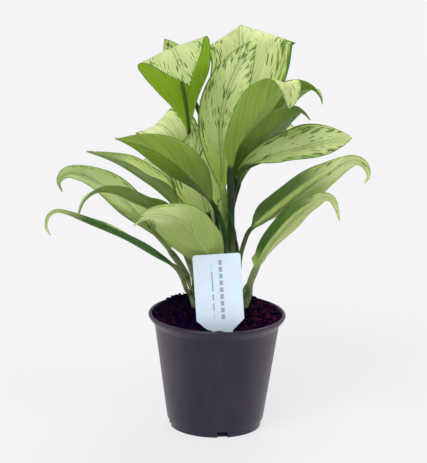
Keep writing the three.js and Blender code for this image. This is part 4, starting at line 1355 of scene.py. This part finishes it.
def soil_bed(plan, pot):
    """The soil as one closed mesh with a lumpy mounded top."""
    rings, sides = 36, 120
    under = pot.height - pot.rim_drop - 1 * MM
    floor = pot.floor + CLEARANCE * MM
    foot = pot.foot_radius - pot.foot_inset - pot.wall + 1 * MM
    wall = pot.shoulder_radius - pot.wall + 1.4 * MM
    share = (plan.edge_height - under) / (pot.height - 0.4 * MM - under)
    edge = blend(wall, pot.rim_radius - 3.2 * MM, share) - 1.1 * MM
    rng = np.random.default_rng(plan.seed)
    # Waves 9 to 79 mm long, each with its direction and phase. The shorter ones are lower.
    turns = (0, math.tau)
    waves = [(rng.uniform(80, 700), rng.uniform(*turns), rng.uniform(*turns)) for _ in range(WAVES)]

    def height(x, y):
        r = np.hypot(x, y)
        rough = 0.0
        for k, turn, phase in waves:
            rough += math.sin(k * (x * math.cos(turn) + y * math.sin(turn)) + phase) * (120 / (k + 120))
        heap = plan.edge_height + plan.lean * y / edge + plan.mound * (1 - (r / edge) ** 6)
        heap += plan.ridge * float(smooth((y / edge - 0.45) / 0.45))
        return heap + plan.lumps * 0.45 * rough - plan.dip * by_label(x, y)

    profile = [(foot - 1.4 * MM, floor), (wall - 1 * MM, under), (edge, plan.edge_height - 3 * MM)]
    points = [(0.0, 0.0, floor)]
    for r, z in profile:
        points += [(x, y, z) for x, y in circle(r, sides)]
    for i in range(rings, 0, -1):
        points += [(x, y, height(x, y)) for x, y in circle(edge * i / rings, sides)]
    points.append((0.0, 0.0, height(0, 0)))
    return points, ring_faces(sides, len(profile) + rings), edge, height


def chip_tree():
    """Scatters bark chips over a surface, each turned, sized and roughened its own way."""
    inputs = {"Gap": ("Float", 0.002), "Length": ("Float", 0.006), "Seed": ("Int", 0)}
    tree, net, given, out = shape_group("bark_scatter", inputs)
    spread = net.add("GeometryNodeDistributePointsOnFaces", distribute_method="POISSON")
    net.put(spread.inputs["Mesh"], given["Geometry"])
    net.put(spread.inputs["Distance Min"], given["Gap"])
    net.put(spread.inputs["Density Max"], CHIP_DENSITY)
    net.put(spread.inputs["Seed"], given["Seed"])

    def random(kind, low, high, seed):
        node = net.add("FunctionNodeRandomValue", data_type=kind)
        sockets = {i.name: i for i in node.inputs if i.enabled}
        sockets["Min"].default_value = low
        sockets["Max"].default_value = high
        net.put(sockets["Seed"], net.plus(given["Seed"], float(seed)))
        return next(o for o in node.outputs if o.enabled)

    lump = net.add("GeometryNodeMeshIcoSphere", {"Radius": 0.5, "Subdivisions": 1})
    shape = random("FLOAT_VECTOR", (0.25, 0.14, 0.08), (1.0, 0.42, 0.24), 1)
    size = net.vector("SCALE", shape, given["Length"])
    turn = random("FLOAT_VECTOR", (-0.45, -0.45, 0.0), (0.45, 0.45, math.tau), 2)
    chips = placed_on(net, spread.outputs[0], lump.outputs[0], Rotation=turn, Scale=size)
    toned = store_on(net, chips, "bark_tone", random("FLOAT", 0.0, 1.0, 3), "INSTANCE")
    real = net.add("GeometryNodeRealizeInstances", {0: toned})
    place = net.add("GeometryNodeInputPosition").outputs[0]
    noise = net.add("ShaderNodeTexNoise", {"Scale": 700.0, "Detail": 1.0})
    net.put(noise.inputs["Vector"], place)
    rough = net.vector("SUBTRACT", noise.outputs[1], (0.5, 0.5, 0.5))
    offset = net.vector("SCALE", rough, net.times(given["Length"], 0.28))
    moved = net.add("GeometryNodeSetPosition", {"Geometry": real.outputs[0], "Offset": offset})
    flat = net.add("GeometryNodeSetShadeSmooth", {"Geometry": moved.outputs[0], "Shade Smooth": False})
    net.put(out["Geometry"], painted(net, flat, given))
    return tree


def bark_material(plan, name, chips):
    material, net, shader = new_material(name, Specular_IOR_Level=0.03)
    place = net.object_place()
    fine = net.mottle(place, 520.0, 0.35, 0.7)
    colour = net.mix(fine, plan.dark, plan.bark)
    if chips:
        wide = net.mottle(place, 38.0, 0.35, 0.65)
        tone = net.attribute("bark_tone", "Fac")
        colour = net.mix(net.times(tone, 0.75), plan.dark, colour)
        redder = net.ramp(net.split(place)[0], -0.02, 0.03, 0.2, 0.9)
        red = net.times(net.ramp(tone, 0.35, 1.0), net.line(wide, 0.6, 0.4))
        colour = net.mix(red, colour, plan.red, redder)
    net.put(shader["Base Color"], colour)
    net.put(shader["Roughness"], net.line(fine, 0.2, 0.75))
    height = net.group(grain_group(), Vector=place, Scale=1800.0, Share=0.8)
    net.put(shader["Normal"], net.bump(height, 0.7, 0.0006))
    return material


class PLANT_OT_soil(bpy.types.Operator):
    """Makes the bed of bark soil and the chips that lie on it"""

    bl_idname = "plant.soil"
    bl_label = "Soil"

    def execute(self, context):
        plan = context.scene.plant_soil
        points, faces, edge, height = soil_bed(plan, context.scene.plant_pot)
        bed = new_object("soil_bed", mesh_of("soil_bed", points, faces))
        bed.data.materials.append(bark_material(plan, "bark_bed", False))
        finish_piece(bed, "bark_soil", "soil")

        top = []
        squares = []
        rings, sides = 14, 48
        for i in range(rings + 1):
            r = max(0.2 * MM, (edge - 2.6 * MM) * i / rings)
            for a in np.arange(sides) * math.tau / sides:
                out = r * (1 + 0.04 * smooth(0.5 + 2 * math.sin(a)))
                x, y = out * math.cos(a), out * math.sin(a)
                top.append((x, y, height(x, y) + 0.2 * MM))
        for i in range(rings):
            for j in range(sides):
                if by_label(*top[(i + 1) * sides + j][:2]) > HOLLOW["bare"]:
                    continue
                k = (j + 1) % sides
                squares.append((i * sides + j, (i + 1) * sides + j, (i + 1) * sides + k, i * sides + k))
        chips = new_object("bark_chips", mesh_of("bark_chips", top, squares))
        values = {
            "Gap": plan.chip_gap,
            "Length": plan.chip_length,
            "Seed": plan.seed,
            "Material": bark_material(plan, "bark_chips", True),
        }
        bake_nodes(chips, chip_tree(), values)
        finish_piece(chips, "bark_soil")
        return {"FINISHED"}


# Label.

# The label's fixed heights, place and lean, in millimetres and degrees.
LABEL = dict(shoulder=108, taper_end=98, stake=20, bottom=62, x=3.6, y=-42, lean=-4.6, tilt=2, pivot=99)
# Upright bars on it as left, bottom, right and top: a row of short ones, and a thin broken one beside it
# with a rule at each end.
LABEL_BARS = [(1.2, 108.5 + 6 * step, 4.2, 112.7 + 6 * step) for step in range(9)]
LABEL_BARS += [(-5.5, 116, -4.3, 123), (-5.5, 125.5, -4.3, 131), (-5.5, 133.5, -4.3, 150.5)]
LABEL_BARS += [(-5.05, 108.5, -4.75, 114), (-5.05, 152.5, -4.75, 157)]


def label_place(points):
    """Leans the card and stands it in the soil."""
    lift = Matrix.Translation((0, 0, -LABEL["pivot"] * MM))
    lean = Matrix.Rotation(math.radians(LABEL["lean"]), 4, "Y")
    tilt = Matrix.Rotation(math.radians(-LABEL["tilt"]), 4, "X")
    stand = Matrix.Translation((LABEL["x"] * MM, LABEL["y"] * MM, LABEL["pivot"] * MM))
    whole = stand @ tilt @ lean @ lift
    return [tuple(whole @ Vector(p)) for p in points]


def slab(name, outline, front, back, bevel):
    """A flat piece from an outline in X and Z with softened edges, from Y front to back."""
    count = len(outline)
    centre = np.mean(outline, axis=0)
    rings = []
    for y, inset in ((front, bevel), (front + bevel, 0), (back - bevel, 0), (back, bevel)):
        ring = []
        for point in outline:
            away = np.array(point) - centre
            scale = 1 - inset / max(np.linalg.norm(away), 1e-9)
            moved = centre + away * scale
            ring.append((moved[0], y, moved[1]))
        rings.append(ring)
    points = [point for ring in rings for point in ring]
    faces = [tuple(range(count)), tuple(range(3 * count, 4 * count))[::-1]]
    for i in range(3):
        for j in range(count):
            k = (j + 1) % count
            faces.append((i * count + j, (i + 1) * count + j, (i + 1) * count + k, i * count + k))
    return mesh_of(name, label_place(points), faces, smooth=False)


def label_outline(plan):
    half, stake = plan.width / 2, LABEL["stake"] * MM / 2
    top, corner = plan.top, plan.corner
    right = [(stake * 0.55, LABEL["bottom"] * MM), (stake, (LABEL["bottom"] + 12) * MM)]
    right += [(stake, LABEL["taper_end"] * MM), (half, LABEL["shoulder"] * MM)]
    for i in range(9):
        angle = math.pi / 2 * i / 8
        right.append((half - corner + corner * math.cos(angle), top - corner + corner * math.sin(angle)))
    return right + [(-x, z) for x, z in right[::-1]]


def label_material(name, colour, roughness):
    material, net, shader = new_material(name, Specular_IOR_Level=0.5, Coat_Weight=0.15)
    mask = net.mottle(net.object_place(), 60.0, 0.3, 0.8)
    worn = tuple(c * 0.93 for c in colour)
    net.put(shader["Base Color"], net.mix(mask, tuple(colour), worn))
    net.put(shader["Roughness"], net.line(mask, 0.1, roughness))
    return material


class PLANT_OT_label(bpy.types.Operator):
    """Makes the plant label with plain bars"""

    bl_idname = "plant.label"
    bl_label = "Label"

    def execute(self, context):
        plan = context.scene.plant_label
        deep = plan.thickness / 2
        card = new_object("label_card", slab("label_card", label_outline(plan), -deep, deep, 0.12 * MM))
        card.data.materials.append(label_material("label_card", plan.card, 0.38))
        finish_piece(card, "label_card", "label")

        material = label_material("label_print", plan.print, 0.45)
        for index, sides in enumerate(LABEL_BARS):
            left, bottom, right, top = (side * MM for side in sides)
            outline = [(left, bottom), (right, bottom), (right, top), (left, top)]
            mesh = slab("bar", outline, -deep - 0.05 * MM, -deep + 0.02 * MM, 0.01 * MM)
            bar = new_object(f"label_bar_{index + 1}", mesh)
            bar.data.materials.append(material)
            finish_piece(bar, "label_card")
        return {"FINISHED"}


# Stage.

# The suns: where each stands, its softness in degrees and its tint.
SUNS = {
    "key": ((-0.7, -1.3, 2.1), 30, (1.0, 0.99, 0.96)),
    "fill": ((1.7, -1.1, 1.1), 45, (0.97, 0.98, 1.0)),
    "back": ((0.3, 1.3, 2.0), 30, (1.0, 1.0, 0.97)),
}
SKY_TINT = (0.96, 0.97, 1.0, 1)
SENSOR_WIDTH = 36


class PLANT_OT_stage(bpy.types.Operator):
    """Makes the floor, the lights and the camera"""

    bl_idname = "plant.stage"
    bl_label = "Stage"

    def execute(self, context):
        plan = context.scene.plant_stage
        scene = context.scene
        half = plan.floor_size
        corners = [(-half, -half, 0), (half, -half, 0), (half, half, 0), (-half, half, 0)]
        mesh = mesh_of("floor", corners, [(0, 1, 2, 3)], smooth=False)
        floor = new_object("floor", mesh)
        material, _, _ = new_material(
            "floor_paper",
            Specular_IOR_Level=0.0,
            Roughness=1.0,
            Base_Color=(*plan.floor_tone, 1),
            Emission_Color=(*plan.floor_glow, 1),
            Emission_Strength=1.0,
        )
        mesh.materials.append(material)

        world = bpy.data.worlds.new("sky")
        world.use_nodes = True
        net = Net(world.node_tree)
        background = world.node_tree.nodes["Background"]
        background.inputs[0].default_value = SKY_TINT
        seen = net.add("ShaderNodeLightPath").outputs["Is Camera Ray"]
        net.put(background.inputs[1], net.line(seen, plan.paper - plan.sky, plan.sky))
        scene.world = world

        target = Vector((plan.target_x, 0, plan.target_z))
        for name, (place, softness, tint) in SUNS.items():
            data = bpy.data.lights.new(name, "SUN")
            data.angle = math.radians(softness)
            data.energy = getattr(plan, name)
            data.color = tint
            light = new_object(name, data)
            light.location = place
            light.rotation_euler = (target - Vector(place)).to_track_quat("-Z", "Y").to_euler()

        data = bpy.data.cameras.new("camera")
        data.lens = plan.lens
        data.sensor_width = SENSOR_WIDTH
        data.clip_end = 60
        camera = new_object("camera", data)
        toward = Vector((0, -math.cos(plan.elevation), math.sin(plan.elevation)))
        turn = toward.to_track_quat("Z", "Y").to_matrix().to_4x4()
        roll = Matrix.Rotation(plan.roll, 4, "Z")
        camera.matrix_world = Matrix.Translation(target + toward * plan.distance) @ turn @ roll
        scene.camera = camera
        scene.view_settings.view_transform = "Standard"
        return {"FINISHED"}


class PLANT_PT_panel(bpy.types.Panel):
    bl_label = "Potted Evergreen"
    bl_idname = "PLANT_PT_panel"
    bl_space_type = "VIEW_3D"
    bl_region_type = "UI"
    bl_category = "Plant"

    def draw(self, context):
        for group, (_, operator) in PIECES.items():
            box = self.layout.box()
            box.operator(operator.bl_idname)
            settings = getattr(context.scene, group)
            for name in settings.__annotations__:
                box.prop(settings, name)


PIECES = {
    "plant_stage": (StageSettings, PLANT_OT_stage),
    "plant_pot": (PotSettings, PLANT_OT_pot),
    "plant_soil": (SoilSettings, PLANT_OT_soil),
    "plant_label": (LabelSettings, PLANT_OT_label),
    "plant_canes": (CaneSettings, PLANT_OT_canes),
    "plant_leaves": (LeafSettings, PLANT_OT_leaves),
}
CLASSES = [settings for settings, _ in PIECES.values()]
CLASSES += [operator for _, operator in PIECES.values()]
CLASSES.append(PLANT_PT_panel)


def register():
    for cls in CLASSES:
        bpy.utils.register_class(cls)
    for name, (settings, _) in PIECES.items():
        setattr(bpy.types.Scene, name, PointerProperty(type=settings))


def unregister():
    for name in PIECES:
        delattr(bpy.types.Scene, name)
    for cls in reversed(CLASSES):
        bpy.utils.unregister_class(cls)


def main():
    register()
    bpy.ops.plant.stage()
    bpy.ops.plant.pot()
    bpy.ops.plant.soil()
    bpy.ops.plant.label()
    bpy.ops.plant.canes()
    bpy.ops.plant.leaves()


if __name__ == "__main__":
    main()
